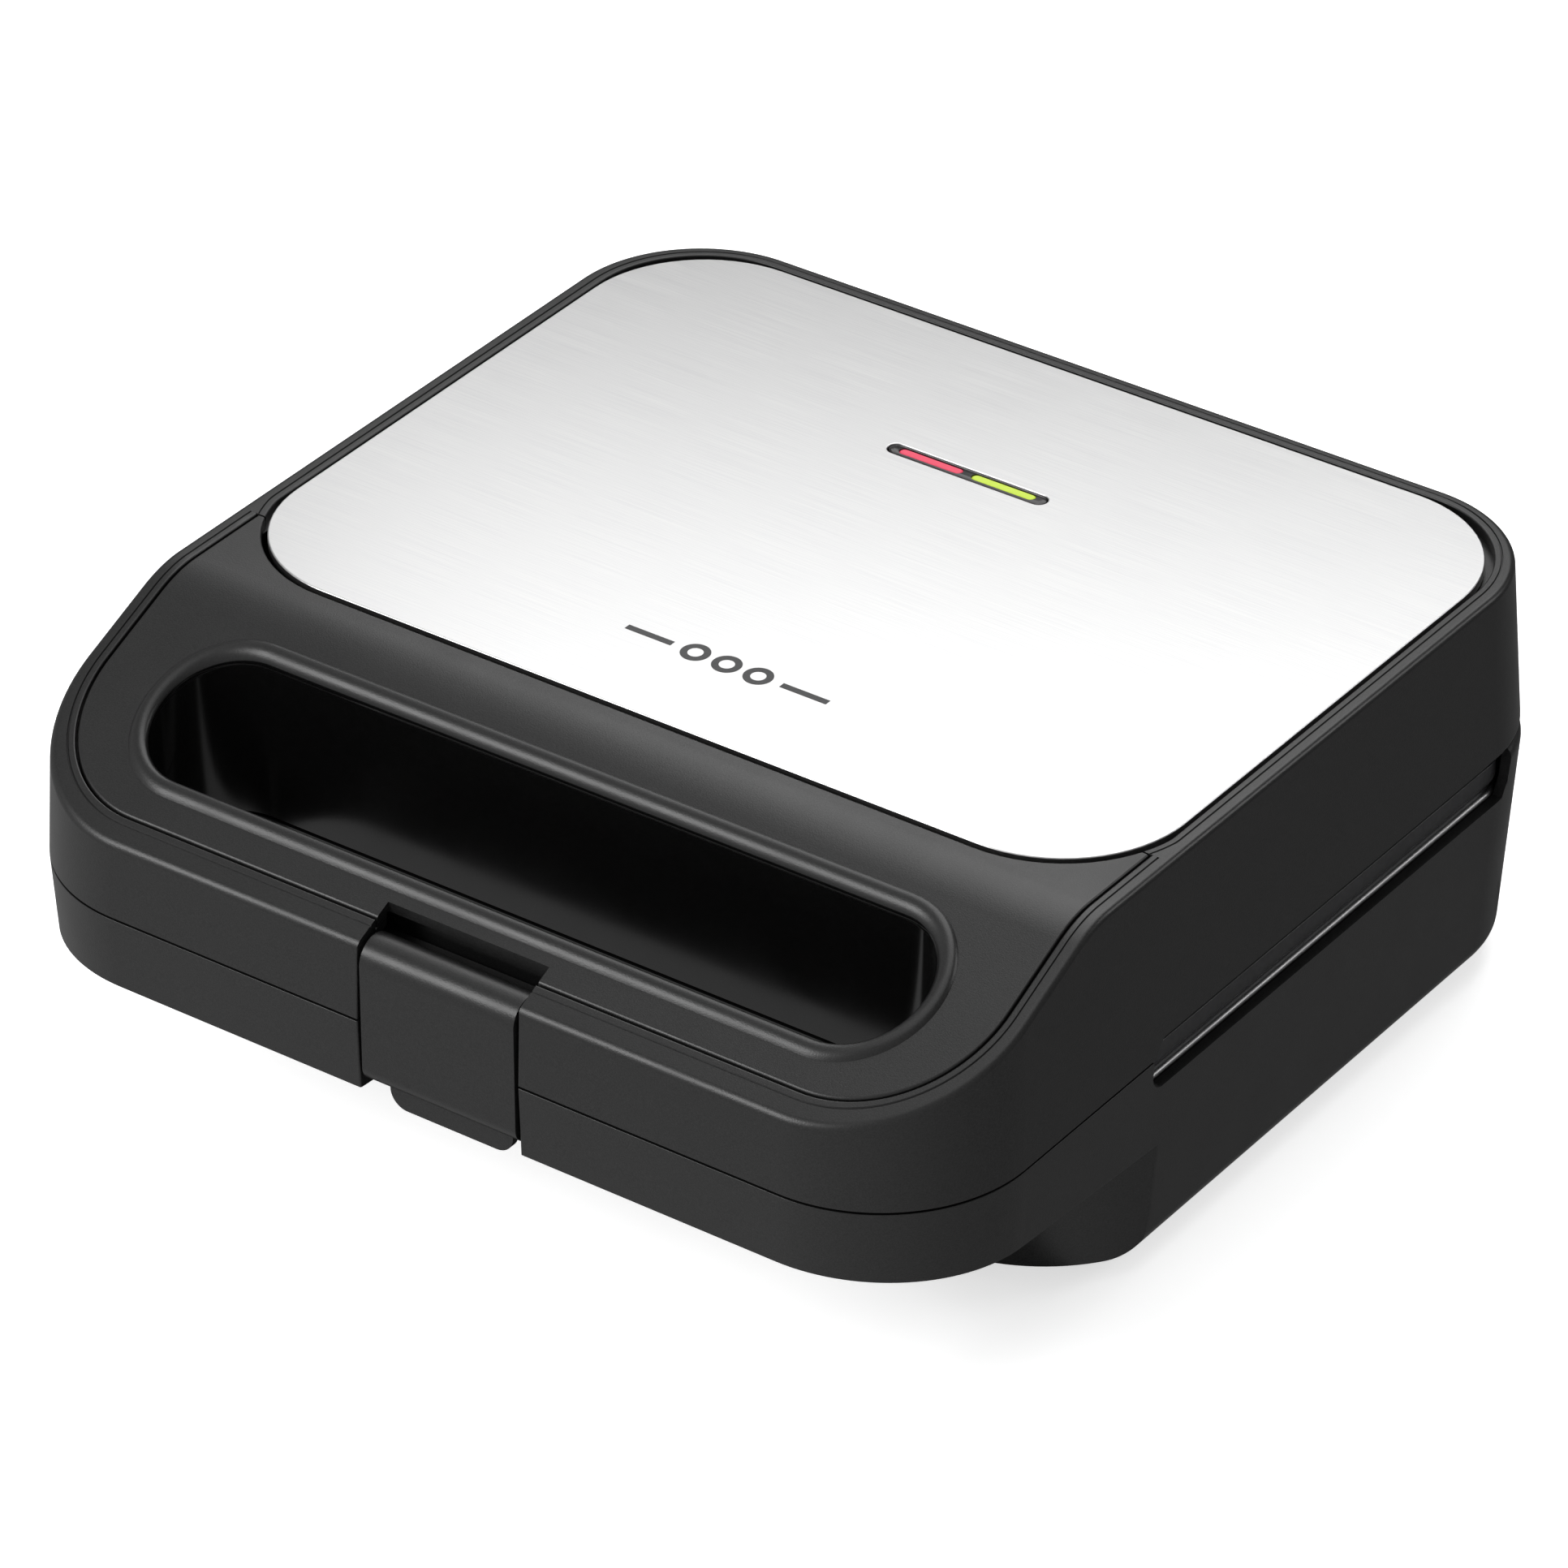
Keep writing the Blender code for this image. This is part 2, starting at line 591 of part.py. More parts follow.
# ---- latch ------------------------------------------------------------------------------------------
def make_latch(finishes):
    """Latch lever with a barrel at its top and a narrower finger tab, on its steel pin."""
    half = RECESS_WIDTH / 2 - LATCH_SIDE_GAP
    face = LATCH_Y - LATCH_BARREL
    back = face + LATCH_THICK
    barrel = arc((LATCH_Y, LATCH_Z), LATCH_BARREL, -40, 180, 12)
    low = LATCH_Z - LATCH_LENGTH
    face_side = [(face, low + 4.0), (face + 0.5, low + 2.0), (face + 1.9, low + 0.6), (face + 3.0, low)]
    hook_z = low + 6.0
    hook = [(back + HOOK - 0.1, low), (back + HOOK - 0.1, low + 1.6), (back, low + 3.2), (back, hook_z),
            (back + HOOK, hook_z + 1.4), (back + HOOK, hook_z + 2.6), (back, hook_z + 3.4)]
    latch = side_prism("latch", barrel + face_side + hook + [(back, LATCH_Z - LATCH_BARREL + 0.4)],
                       -half, half, finishes["black_plastic"])
    tab_face = face + TAB_SETBACK
    tab_half = half - TAB_NARROWER
    bottom = LATCH_Z - TAB_LENGTH
    side = arc((tab_half - 4, bottom + 4), 4, 0, -90, 4) + arc((-tab_half + 4, bottom + 4), 4, -90, -180, 4)
    tab_outline = [(tab_half, low + 1.2)] + side + [(-tab_half, low + 1.2)]
    tab = loft("tab", [[(x, y, z) for x, z in tab_outline] for y in (tab_face, tab_face + TAB_THICK - 0.2)])
    join(latch, tab)
    cut(latch, rod("bore", (-HALF, LATCH_Y, LATCH_Z), (HALF, LATCH_Y, LATCH_Z),
                   LATCH_PIN_RADIUS + PIN_PLAY, steps=16))
    reach = RECESS_WIDTH / 2 + WALL
    pin = rod("latch_pin", (-reach, LATCH_Y, LATCH_Z), (reach, LATCH_Y, LATCH_Z), LATCH_PIN_RADIUS,
              finishes["plain_steel"], steps=16)
    return [latch, pin]


# ---- baking plates ----------------------------------------------------------------------------------
def cavity_centres():
    for row in range(ROWS):
        for column in range(COLUMNS):
            yield ((column - (COLUMNS - 1) / 2) * RING_PITCH_X,
                   PLATE_Y + (row - (ROWS - 1) / 2) * RING_PITCH_Y)


def boss_centres():
    for x in (-RING_PITCH_X / 2, RING_PITCH_X / 2):
        for side in (-1, 1):
            yield x, PLATE_Y + side * (RING_PITCH_Y / 2 + RING_MAJOR + RING_MINOR - BOSS_INSET)


def half_ring(name, centre, face, sign, minor, lift, segments, facets=6):
    """A ring whose round side bulges away from the plate's face. sign +1 bulges upwards."""
    angles = [radians(180 * i / facets) for i in range(facets + 1)]
    profile = [(RING_MAJOR + minor * cos(a), sign * minor * sin(a)) for a in angles]
    profile += [(RING_MAJOR - minor, -sign * lift), (RING_MAJOR + minor, -sign * lift)]
    return lathe(name, profile, (centre[0], centre[1], face), steps=segments)


def make_plate(name, sign, finish):
    """Cast plate with six ring cavities. sign +1 is the lid's plate, -1 the base's."""
    face = TOP - PLATE_FACE_DROP + sign * PLATE_SPLIT / 2
    outline = rounded_rect(PLATE_WIDTH / 2, PLATE_FRONT, PLATE_BACK, PLATE_CORNER)
    skirt = UPPER_SKIRT if sign > 0 else PLATE_SLAB
    plate = prism(name, outline, *sorted((face, face + sign * skirt)), finish)
    if skirt > PLATE_SLAB:
        tray = rounded_rect(PLATE_WIDTH / 2 - 2.5, PLATE_FRONT + 2.5, PLATE_BACK - 2.5, PLATE_CORNER - 2.5)
        cut(plate, prism("tray", tray, *sorted((face + sign * PLATE_SLAB, face + sign * 20))))
    for centre in cavity_centres():
        join(plate, half_ring("bulge", centre, face + sign * 0.9, sign, RING_MINOR + RING_WALL - 0.9, 0.0, 20, 5))
    for x, y in boss_centres():
        ends = (x, y, face + sign * 1.5), (x, y, face + sign * (PLATE_SLAB + BOSS_LENGTH))
        join(plate, rod("boss", *ends, BOSS_RADIUS, steps=12))
        drill = (x, y, ends[1][2] - sign * SCREW_LENGTH), (x, y, ends[1][2] + sign * 5)
        cut(plate, rod("drill", *drill, SCREW_RADIUS + GAP, steps=12))
    for centre in cavity_centres():
        cut(plate, half_ring("cavity", centre, face, sign, RING_MINOR, 3.0, 20))
    return plate


def make_heater(name, sign, finish):
    """U-shaped tubular element under the two rows of cavities."""
    face = TOP - PLATE_FACE_DROP + sign * PLATE_SPLIT / 2
    z = face + sign * (RING_MINOR + RING_WALL + HEATER_RADIUS + GAP + 0.2)
    reach = RING_PITCH_X + RING_MAJOR
    radius = RING_PITCH_Y / 2
    bend = [(x, y, z) for x, y in arc((reach - radius, PLATE_Y), radius, -90, 90, 12)]
    ends = [(-reach, PLATE_Y - radius, z)], [(-reach, PLATE_Y + radius, z)]
    return tube_along(name, ends[0] + bend + ends[1], HEATER_RADIUS, finish)


def reflector_level(sign):
    face = TOP - PLATE_FACE_DROP + sign * PLATE_SPLIT / 2
    return face + sign * (PLATE_SLAB + BOSS_LENGTH + GAP)


def make_reflector(name, sign, finish):
    """Shallow sheet tray behind the heater, drilled for the plate's screws."""
    near = reflector_level(sign)
    far = near + sign * REFLECTOR_SHEET
    lip = near - sign * REFLECTOR_LIP
    half, inset = PLATE_WIDTH / 2 - 12, 6.0
    outer = rounded_rect(half, PLATE_FRONT + inset, PLATE_BACK - inset, 10, 4)
    inner = rounded_rect(half - REFLECTOR_SHEET, PLATE_FRONT + inset + REFLECTOR_SHEET,
                         PLATE_BACK - inset - REFLECTOR_SHEET, 10 - REFLECTOR_SHEET, 4)
    tray = prism(name, outer, *sorted((far, lip)), finish)
    cut(tray, prism("inside", inner, *sorted((near, lip - sign * 5))))
    for x, y in boss_centres():
        cut(tray, rod("hole", (x, y, near - sign * 2), (x, y, far + sign * 2), SCREW_RADIUS + GAP, steps=12))
    return tray


def make_plate_screws(prefix, sign, finish):
    """Screws through the reflector into the plate's bosses."""
    seat = reflector_level(sign) + sign * (REFLECTOR_SHEET + GAP)
    made = []
    for number, (x, y) in enumerate(boss_centres(), 1):
        profile = [(0, 0), (SCREW_HEAD, 0), (SCREW_HEAD * 0.8, 1.8), (0, 1.8)]
        profile = [(0, -SCREW_LENGTH + 1.0), (SCREW_RADIUS, -SCREW_LENGTH + 1.0), (SCREW_RADIUS, 0)] + profile[1:]
        profile = [(r, z * sign) for r, z in profile]
        made.append(lathe(f"{prefix}_plate_screw_{number}", profile, (x, y, seat), finish, steps=10))
    return made


# ---- base -------------------------------------------------------------------------------------------
def base_skin(name, inset, floor, roof):
    """The base's full outline, with its bottom edge rounded."""
    fillet = [(FOOT_FILLET * (1 - sin(radians(a))), FOOT_FILLET * (1 - cos(radians(a)))) for a in (0, 30, 60, 90)]
    rings = [ring_at(inset + cut_in, floor + rise) for cut_in, rise in fillet]
    rings += [ring_at(inset, SPLIT - 12), ring_at(inset, SPLIT)]
    if roof > SPLIT:
        rings.append([(x, y, roof) for x, y, _ in rings[-1]])
    return loft(name, rings)


def under_handle(name, grow):
    """Space under the handle, in front of the tub. grow thickens it by the wall."""
    rings = []
    for z in (-20.0, SPLIT - 4):
        lean = FRONT_DRAFT_BASE * (SPLIT - z) / (SPLIT - FOOT_HEIGHT)
        edge = TUB_FRONT + lean + grow
        wide = HALF + 6
        reach = HALF + 0.9 - grow
        radius = TUB_CORNER - grow
        right = arc((reach - radius, edge + radius), radius, -90, 0, 10)
        corner_y = right[-1][1]
        tub = [(wide, corner_y + 2)] + list(reversed(right))
        tub = tub + [(-x, y) for x, y in reversed(tub)]
        rings.append([(x, y, z) for x, y in [(-wide, FRONT - 20), (wide, FRONT - 20)] + tub])
    space = loft(name, rings)
    high = TOP - HANDLE_BASE_DROP + grow
    back = FRONT + 100
    profile = [(FRONT - 30, high + 30 * UNDERSIDE_SLOPE), (FRONT - 30, -30), (back, -30),
               (back, high - 100 * UNDERSIDE_SLOPE)]
    keep(space, side_prism("underside", profile, -HALF - 10, HALF + 10))
    return space


def trim_base_edge(target, above=0.0):
    """Lowers the base's edge at the side gap and at the back."""
    low = TOP - GAP_BOTTOM_DROP + above
    profile = [(GAP_FRONT - GAP_SLANT, SPLIT + 30), (GAP_FRONT - GAP_SLANT, SPLIT - 3.5),
               (GAP_FRONT, low), (GAP_BACK + 2, low), (GAP_BACK + GAP_SLANT, REAR_SPLIT - PARTING / 2 + above),
               (BACK + 30, REAR_SPLIT - PARTING / 2 + above), (BACK + 30, SPLIT + 30)]
    cut(target, side_prism("edge", profile, -HALF - 10, HALF + 10))


def make_lower_housing(finish):
    housing = base_skin("lower_housing", 0.0, FOOT_HEIGHT, SPLIT - PARTING / 2)
    housing.data.materials.append(finish)
    cut(housing, under_handle("hollow", 0.0))
    cavity = base_skin("cavity", WALL, FOOT_HEIGHT + FLOOR, SPLIT + 5)
    cut(cavity, under_handle("hollow", WALL))
    cut(cavity, prism("tube", stadium(GRIP_HALF, GRIP_Y, GRIP_RADIUS + TUBE_WALL), -FAR, FAR))
    cut(cavity, recess_box(RECESS_BASE, -FAR, FAR, WALL))
    cut(housing, cavity)
    trim_base_edge(housing)
    cut(housing, prism("grip", stadium(GRIP_HALF, GRIP_Y, GRIP_RADIUS), -FAR, FAR))
    cut(housing, recess_box(RECESS_BASE, -FAR, FAR))
    ledge = SPLIT - 4.8, SPLIT - 2.3
    join(housing, box("ledge", (-RECESS_WIDTH / 2 + 4, FRONT + LATCH_THICK + HOOK + 0.1 + GAP, ledge[0]),
                      (RECESS_WIDTH / 2 - 4, FRONT + RECESS_BASE + WALL / 2, ledge[1])))
    for x, y in foot_centres():
        cut(housing, rod("foot_hole", (x, y, -5), (x, y, 15), STUD_RADIUS + GAP, steps=20))
    for number in range(VENTS):
        x = (number - (VENTS - 1) / 2) * VENT_PITCH
        cut(housing, box("vent", (x - VENT_WIDTH / 2, PLATE_Y - VENT_LENGTH / 2, -5),
                         (x + VENT_WIDTH / 2, PLATE_Y + VENT_LENGTH / 2, 15)))
    cut(housing, rod("cord_hole", (0, BACK - 15, BUSH_HEIGHT), (0, BACK + 15, BUSH_HEIGHT),
                     BUSH_RADIUS - 1.5 + GAP, steps=16))
    for side in (-1, 1):
        for offset in (-1, 1):
            centre = side * HINGE_CENTRE + offset * (LID_KNUCKLE / 2 + GAP + EAR_WIDTH / 2)
            join(housing, knuckle("ear", centre, EAR_WIDTH, False))
        cut(housing, hinge_bore(side * HINGE_CENTRE, LID_KNUCKLE))
    return housing


def make_lower_frame(finish):
    """Inner surround of the base: the lower handle's cover, the plate's pocket and rails, the rear strip."""
    roof = SPLIT - PARTING / 2
    rail_top = TOP - PLATE_FACE_DROP - PLATE_SPLIT / 2 - PLATE_SLAB - GAP
    outline = [(x, y) for x, y, _ in ring_at(WALL + GAP, rail_top - WALL)]
    frame = prism("lower_frame", outline, rail_top - WALL, roof, finish)
    deck = roof - WALL
    cut(frame, box("under_deck", (-FAR, -FAR, -FAR), (FAR, PLATE_FRONT - WALL - GAP, deck)))
    rear_roof = REAR_SPLIT - PARTING / 2
    cut(frame, box("over_rear", (-FAR, PLATE_FRONT + 10, rear_roof), (FAR, FAR, FAR)))
    cut(frame, box("under_rear", (-FAR, PLATE_BACK + WALL + GAP, -FAR), (FAR, FAR, rear_roof - WALL)))
    pocket = rounded_rect(HALF + 5, PLATE_FRONT - GAP, PLATE_BACK + GAP, 5, 3)
    cut(frame, prism("pocket", pocket, rail_top, FAR))
    cut(frame, prism("opening", upper_frame_opening(), -FAR, FAR))
    cut(frame, prism("grip", stadium(GRIP_HALF, GRIP_Y, GRIP_RADIUS + TUBE_WALL + GAP), -FAR, FAR))
    cut(frame, recess_box(RECESS_BASE + WALL + GAP, -FAR, FAR, WALL + GAP))
    return frame


def foot_centres():
    for x in (-(HALF - FOOT_INSET_X), HALF - FOOT_INSET_X):
        for y in (TUB_FRONT + FOOT_INSET_Y, BACK - FOOT_INSET_Y):
            yield x, y


def make_feet(finish):
    """Rubber feet with a stud pushed up through the floor."""
    names = ("left_front_foot", "left_rear_foot", "right_front_foot", "right_rear_foot")
    under, over = FOOT_HEIGHT - GAP, FOOT_HEIGHT + FLOOR + GAP
    profile = [(0, 0), (FOOT_RADIUS - 1.2, 0), (FOOT_RADIUS - 0.4, 0.8), (FOOT_RADIUS, under),
               (STUD_RADIUS, under), (STUD_RADIUS, over), (STUD_RADIUS + 1.4, over + 0.4), (0, over + 3.0)]
    return [lathe(name, profile, (x, y, 0), finish, 16) for name, (x, y) in zip(names, foot_centres())]


def make_cord_bush(finish):
    """Rubber bush round the hole for the supply lead."""
    back = BACK - draft(BUSH_HEIGHT, "back")
    neck = BUSH_RADIUS - 1.5
    slack = 2 * GAP
    profile = [(BUSH_BORE, -WALL - 3), (neck + 1.2, -WALL - 2.4), (neck + 1.2, -WALL - slack),
               (neck, -WALL - slack), (neck, slack), (BUSH_RADIUS, slack),
               (BUSH_RADIUS - 0.8, BUSH_OUT), (BUSH_BORE, BUSH_OUT)]
    turn = Matrix.Rotation(radians(-90), 4, "X")
    return lathe("cord_bush", profile, (0, back, BUSH_HEIGHT), finish, 16, turn)


def make_hinge_pins(finish):
    reach = LID_KNUCKLE / 2 + GAP + EAR_WIDTH + 0.6
    made = []
    for name, side in (("left_hinge_pin", -1), ("right_hinge_pin", 1)):
        x = side * HINGE_CENTRE
        made.append(rod(name, (x - reach, HINGE_Y, HINGE_Z), (x + reach, HINGE_Y, HINGE_Z), HINGE_PIN, finish))
    return made


def make_controls(finishes):
    """Thermostat and fuse against the lower plate, and the terminal block by the cord bush."""
    under = TOP - PLATE_FACE_DROP - PLATE_SPLIT / 2 - PLATE_SLAB - GAP
    x = RING_PITCH_X / 2
    profile = [(0, 0), (9, 0), (9, -4.5), (6.5, -4.5), (6.5, -9.5), (0, -9.5)]
    thermostat = lathe("thermostat", profile, (x, PLATE_Y, under), finishes["ceramic"])
    fuse = rod("thermal_fuse", (-x - 7, PLATE_Y, under - 4), (-x + 7, PLATE_Y, under - 4), 3.2,
               finishes["plain_steel"], steps=14)
    floor = FOOT_HEIGHT + FLOOR + GAP
    y = PLATE_BACK - 4
    block = box("terminal_block", (14, y, floor), (40, y + 12, floor + 10), finishes["ceramic"])
    for number in range(3):
        centre = 18.5 + number * 8.5
        cut(block, box("slot", (centre - 2.5, y + 3.5, floor + 4), (centre + 2.5, y + 8.5, floor + 20)))
    return [thermostat, fuse, block]


def smooth_route(points, steps=4):
    """A Catmull-Rom curve through the points."""
    ends = [points[0]] + list(points) + [points[-1]]
    route = []
    for a, b, c, d in zip(ends, ends[1:], ends[2:], ends[3:]):
        for i in range(steps):
            t = i / steps
            route.append(tuple(0.5 * (2 * q + (r - p) * t + (2 * p - 5 * q + 4 * r - s) * t * t
                                      + (3 * q - p - 3 * r + s) * t ** 3)
                               for p, q, r, s in zip(a, b, c, d)))
    route.append(tuple(points[-1]))
    return route


def make_leads(finish):
    """Sleeved leads inside the two shells."""
    lamp_y = PANEL_Y + LENS_FROM_PANEL_CENTRE
    low = FOOT_HEIGHT + FLOOR + 3
    rear = PLATE_BACK + 10
    routes = {
        "lamp_lead": [(0, lamp_y + 6, TOP - 12), (6, lamp_y + 14, TOP - 14), (20, rear - 4, TOP - 20),
                      (34, rear, TOP - 30)],
        "lower_heater_lead": [(27, PLATE_BACK - 6, low + 2), (25, PLATE_BACK - 12, low + 1), (8, rear - 32, low),
                              (-30, rear - 36, low), (-70, PLATE_Y + 34, low + 2)],
    }
    return [tube_along(name, smooth_route(points), 1.3, finish, sides=8) for name, points in routes.items()]


def main():
    for old in list(bpy.data.objects):
        bpy.data.objects.remove(old)
    finishes = make_materials()
    black, steel = finishes["black_plastic"], finishes["plain_steel"]
    made = [make_lid_housing(black), make_handle_cover(black), make_steel_panel(finishes["brushed_steel"]),
            make_upper_frame(black), make_lower_housing(black), make_lower_frame(black)]
    made += make_lamps(finishes) + make_latch(finishes)
    for prefix, sign in (("upper", 1), ("lower", -1)):
        made.append(make_plate(f"{prefix}_plate", sign, finishes["coated_aluminium"]))
        made.append(make_heater(f"{prefix}_heater", sign, steel))
        made.append(make_reflector(f"{prefix}_reflector", sign, steel))
        made += make_plate_screws(prefix, sign, steel)
    made += make_feet(finishes["rubber"]) + [make_cord_bush(finishes["rubber"])] + make_hinge_pins(steel)
    made += make_controls(finishes) + make_leads(finishes["wire_sleeve"])
    for piece in made:
        shade(piece)


main()
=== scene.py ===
"""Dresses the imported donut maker: fine shells, plates and latch, moulded and brushed finishes, soft studio."""

import json
import logging
from dataclasses import dataclass, field
from enum import Enum
from math import cos, pi, radians, sin, sqrt
from typing import Callable, Iterator, Optional, Sequence

import bmesh
import bpy
from mathutils import Matrix, Vector


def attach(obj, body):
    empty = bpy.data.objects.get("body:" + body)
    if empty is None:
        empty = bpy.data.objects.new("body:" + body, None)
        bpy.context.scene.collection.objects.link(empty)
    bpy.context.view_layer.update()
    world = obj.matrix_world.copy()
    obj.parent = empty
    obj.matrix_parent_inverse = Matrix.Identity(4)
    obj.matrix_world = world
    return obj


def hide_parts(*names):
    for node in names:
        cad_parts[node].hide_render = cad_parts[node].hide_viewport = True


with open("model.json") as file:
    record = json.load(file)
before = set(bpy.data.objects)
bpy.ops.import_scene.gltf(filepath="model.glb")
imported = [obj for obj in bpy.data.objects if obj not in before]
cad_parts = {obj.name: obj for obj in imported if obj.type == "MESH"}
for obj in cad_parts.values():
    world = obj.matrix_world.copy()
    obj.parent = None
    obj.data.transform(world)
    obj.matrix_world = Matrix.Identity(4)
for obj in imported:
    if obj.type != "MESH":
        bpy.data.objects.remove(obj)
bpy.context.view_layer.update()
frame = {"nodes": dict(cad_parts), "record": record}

LOG = logging.getLogger("donut_maker")
MM = 0.001
FAR = 400.0

Point2 = tuple[float, float]
Point3 = tuple[float, float, float]
Height = Callable[[float], float]


class Body(Enum):
    """The moving bodies that pieces ride on."""

    BASE = "base"
    LID = "lid"
    LATCH = "latch"


class Slot(Enum):
    """The record's material slots."""

    PLASTIC = "black_plastic"
    STEEL = "brushed_steel"
    LENS = "smoked_lens"
    RED = "red_lamp"
    GREEN = "green_lamp"
    COATED = "coated_aluminium"
    PLAIN = "plain_steel"
    RUBBER = "rubber"
    CERAMIC = "ceramic"
    SLEEVE = "wire_sleeve"


# ---- finishes ---------------------------------------------------------------------------------------
def linear(hex_colour: str) -> tuple[float, float, float, float]:
    """Turns an sRGB hex colour into linear RGBA.

    Args:
        hex_colour: six hex digits.

    Returns:
        Linear red, green, blue and an alpha of 1.
    """
    parts = [int(hex_colour[i : i + 2], 16) / 255 for i in (0, 2, 4)]
    red, green, blue = (c / 12.92 if c <= 0.04045 else ((c + 0.055) / 1.055) ** 2.4 for c in parts)
    return red, green, blue, 1.0


def add_node(tree: bpy.types.NodeTree, kind: str, settings: Optional[dict] = None,
             **links: object) -> bpy.types.Node:
    """Adds a node.

    Args:
        tree: the material's node tree.
        kind: the node's type.
        settings: properties of the node, or values of its inputs.
        links: input name (spaces as underscores) to the output that feeds it.

    Returns:
        The new node.
    """
    node = tree.nodes.new(kind)
    for name, value in (settings or {}).items():
        if name in node.inputs:
            node.inputs[name].default_value = value
        else:
            setattr(node, name, value)
    for name, output in links.items():
        tree.links.new(output, node.inputs[name.replace("_", " ")])
    return node


def set_ramp(node: bpy.types.Node, stops: Sequence[tuple[float, str]]) -> None:
    """Gives a colour ramp its two stops.

    Args:
        node: the ramp.
        stops: place and sRGB hex colour of each stop.
    """
    for element, (place, colour) in zip(node.color_ramp.elements, stops):
        element.position = place
        element.color = linear(colour)


def new_material(name: str) -> tuple[bpy.types.Material, bpy.types.NodeTree, bpy.types.Node, bpy.types.Node]:
    """Starts a material: the material, its tree, its shader and its object coordinates.

    Args:
        name: the finish.

    Returns:
        The material, its node tree, its shader and its texture coordinates.
    """
    material = bpy.data.materials.new(name)
    material.use_nodes = True
    tree = material.node_tree
    return material, tree, tree.nodes["Principled BSDF"], add_node(tree, "ShaderNodeTexCoord")


@dataclass(frozen=True)
class Grained:
    """A finish with a fine even grain: moulded, cast, coated, moulded rubber, fired or woven."""

    name: str
    dark: str
    light: str
    roughness: tuple[float, float]
    grain_mm: float
    relief_mm: float
    cloud_mm: float = 18.0
    metallic: float = 0.0
    ior: float = 1.5
    specular: float = 0.5

    def build(self) -> bpy.types.Material:
        """Makes the node material.

        Returns:
            The finish.
        """
        material, tree, shader, place = new_material(self.name)
        shader.inputs["Metallic"].default_value = self.metallic
        shader.inputs["IOR"].default_value = self.ior
        shader.inputs["Specular IOR Level"].default_value = self.specular
        spot = place.outputs["Object"]
        grain, cloud = (add_node(tree, "ShaderNodeTexNoise", {"Scale": 1 / (size * MM), "Detail": detail},
                                 Vector=spot) for size, detail in ((self.grain_mm, 2.0), (self.cloud_mm, 3.0)))
        tint = add_node(tree, "ShaderNodeValToRGB", Fac=grain.outputs["Fac"])
        set_ramp(tint, [(0.3, self.dark), (0.7, self.light)])
        low, high = self.roughness
        span = {"From Min": 0.3, "From Max": 0.7, "To Min": low, "To Max": high}
        rough = add_node(tree, "ShaderNodeMapRange", span, Value=cloud.outputs["Fac"])
        bump = add_node(tree, "ShaderNodeBump", {"Strength": 0.6, "Distance": self.relief_mm * MM},
                        Height=grain.outputs["Fac"])
        tree.links.new(tint.outputs["Color"], shader.inputs["Base Color"])
        tree.links.new(rough.outputs["Result"], shader.inputs["Roughness"])
        tree.links.new(bump.outputs["Normal"], shader.inputs["Normal"])
        return material


@dataclass(frozen=True)
class Brushed:
    """Metal brushed along X: long fine scratches that stretch each reflection across them."""

    name: str
    dark: str
    light: str
    roughness: tuple[float, float]
    scratch_length_mm: float
    scratch_width_mm: float
    relief_mm: float

    def build(self) -> bpy.types.Material:
        """Makes the node material.

        Returns:
            The finish.
        """
        material, tree, shader, place = new_material(self.name)
        shader.inputs["Metallic"].default_value = 1.0
        along, across = 1 / (self.scratch_length_mm * MM), 1 / (self.scratch_width_mm * MM)
        stretch = add_node(tree, "ShaderNodeMapping", {"Scale": (along, across, across)},
                           Vector=place.outputs["Object"])
        fine = add_node(tree, "ShaderNodeTexNoise", {"Scale": 1.0, "Detail": 4.0, "Roughness": 0.65},
                        Vector=stretch.outputs["Vector"])
        tint = add_node(tree, "ShaderNodeValToRGB", Fac=fine.outputs["Fac"])
        set_ramp(tint, [(0.3, self.dark), (0.7, self.light)])
        low, high = self.roughness
        span = {"From Min": 0.3, "From Max": 0.7, "To Min": low, "To Max": high}
        rough = add_node(tree, "ShaderNodeMapRange", span, Value=fine.outputs["Fac"])
        bump = add_node(tree, "ShaderNodeBump", {"Strength": 0.5, "Distance": self.relief_mm * MM},
                        Height=fine.outputs["Fac"])
        tree.links.new(tint.outputs["Color"], shader.inputs["Base Color"])
        tree.links.new(rough.outputs["Result"], shader.inputs["Roughness"])
        tree.links.new(bump.outputs["Normal"], shader.inputs["Normal"])
        return material


@dataclass(frozen=True)
class ClearPlastic:
    """Polished see-through plastic, tinted, with faint moulding flow marks."""

    name: str
    colour: str
    roughness: float
    transmission: float
    glow: float = 0.0
    flow_mm: float = 6.0

    def build(self) -> bpy.types.Material:
        """Makes the node material.

        Returns:
            The finish.
        """
        material, tree, shader, place = new_material(self.name)
        shader.inputs["Base Color"].default_value = linear(self.colour)
        shader.inputs["Transmission Weight"].default_value = self.transmission
        shader.inputs["IOR"].default_value = 1.49
        shader.inputs["Emission Color"].default_value = linear(self.colour)
        shader.inputs["Emission Strength"].default_value = self.glow
        flow = add_node(tree, "ShaderNodeTexNoise", {"Scale": 1 / (self.flow_mm * MM), "Detail": 2.0},
                        Vector=place.outputs["Object"])
        rough = add_node(tree, "ShaderNodeMapRange", {"To Min": self.roughness, "To Max": self.roughness * 1.6},
                         Value=flow.outputs["Fac"])
        tree.links.new(rough.outputs["Result"], shader.inputs["Roughness"])
        return material


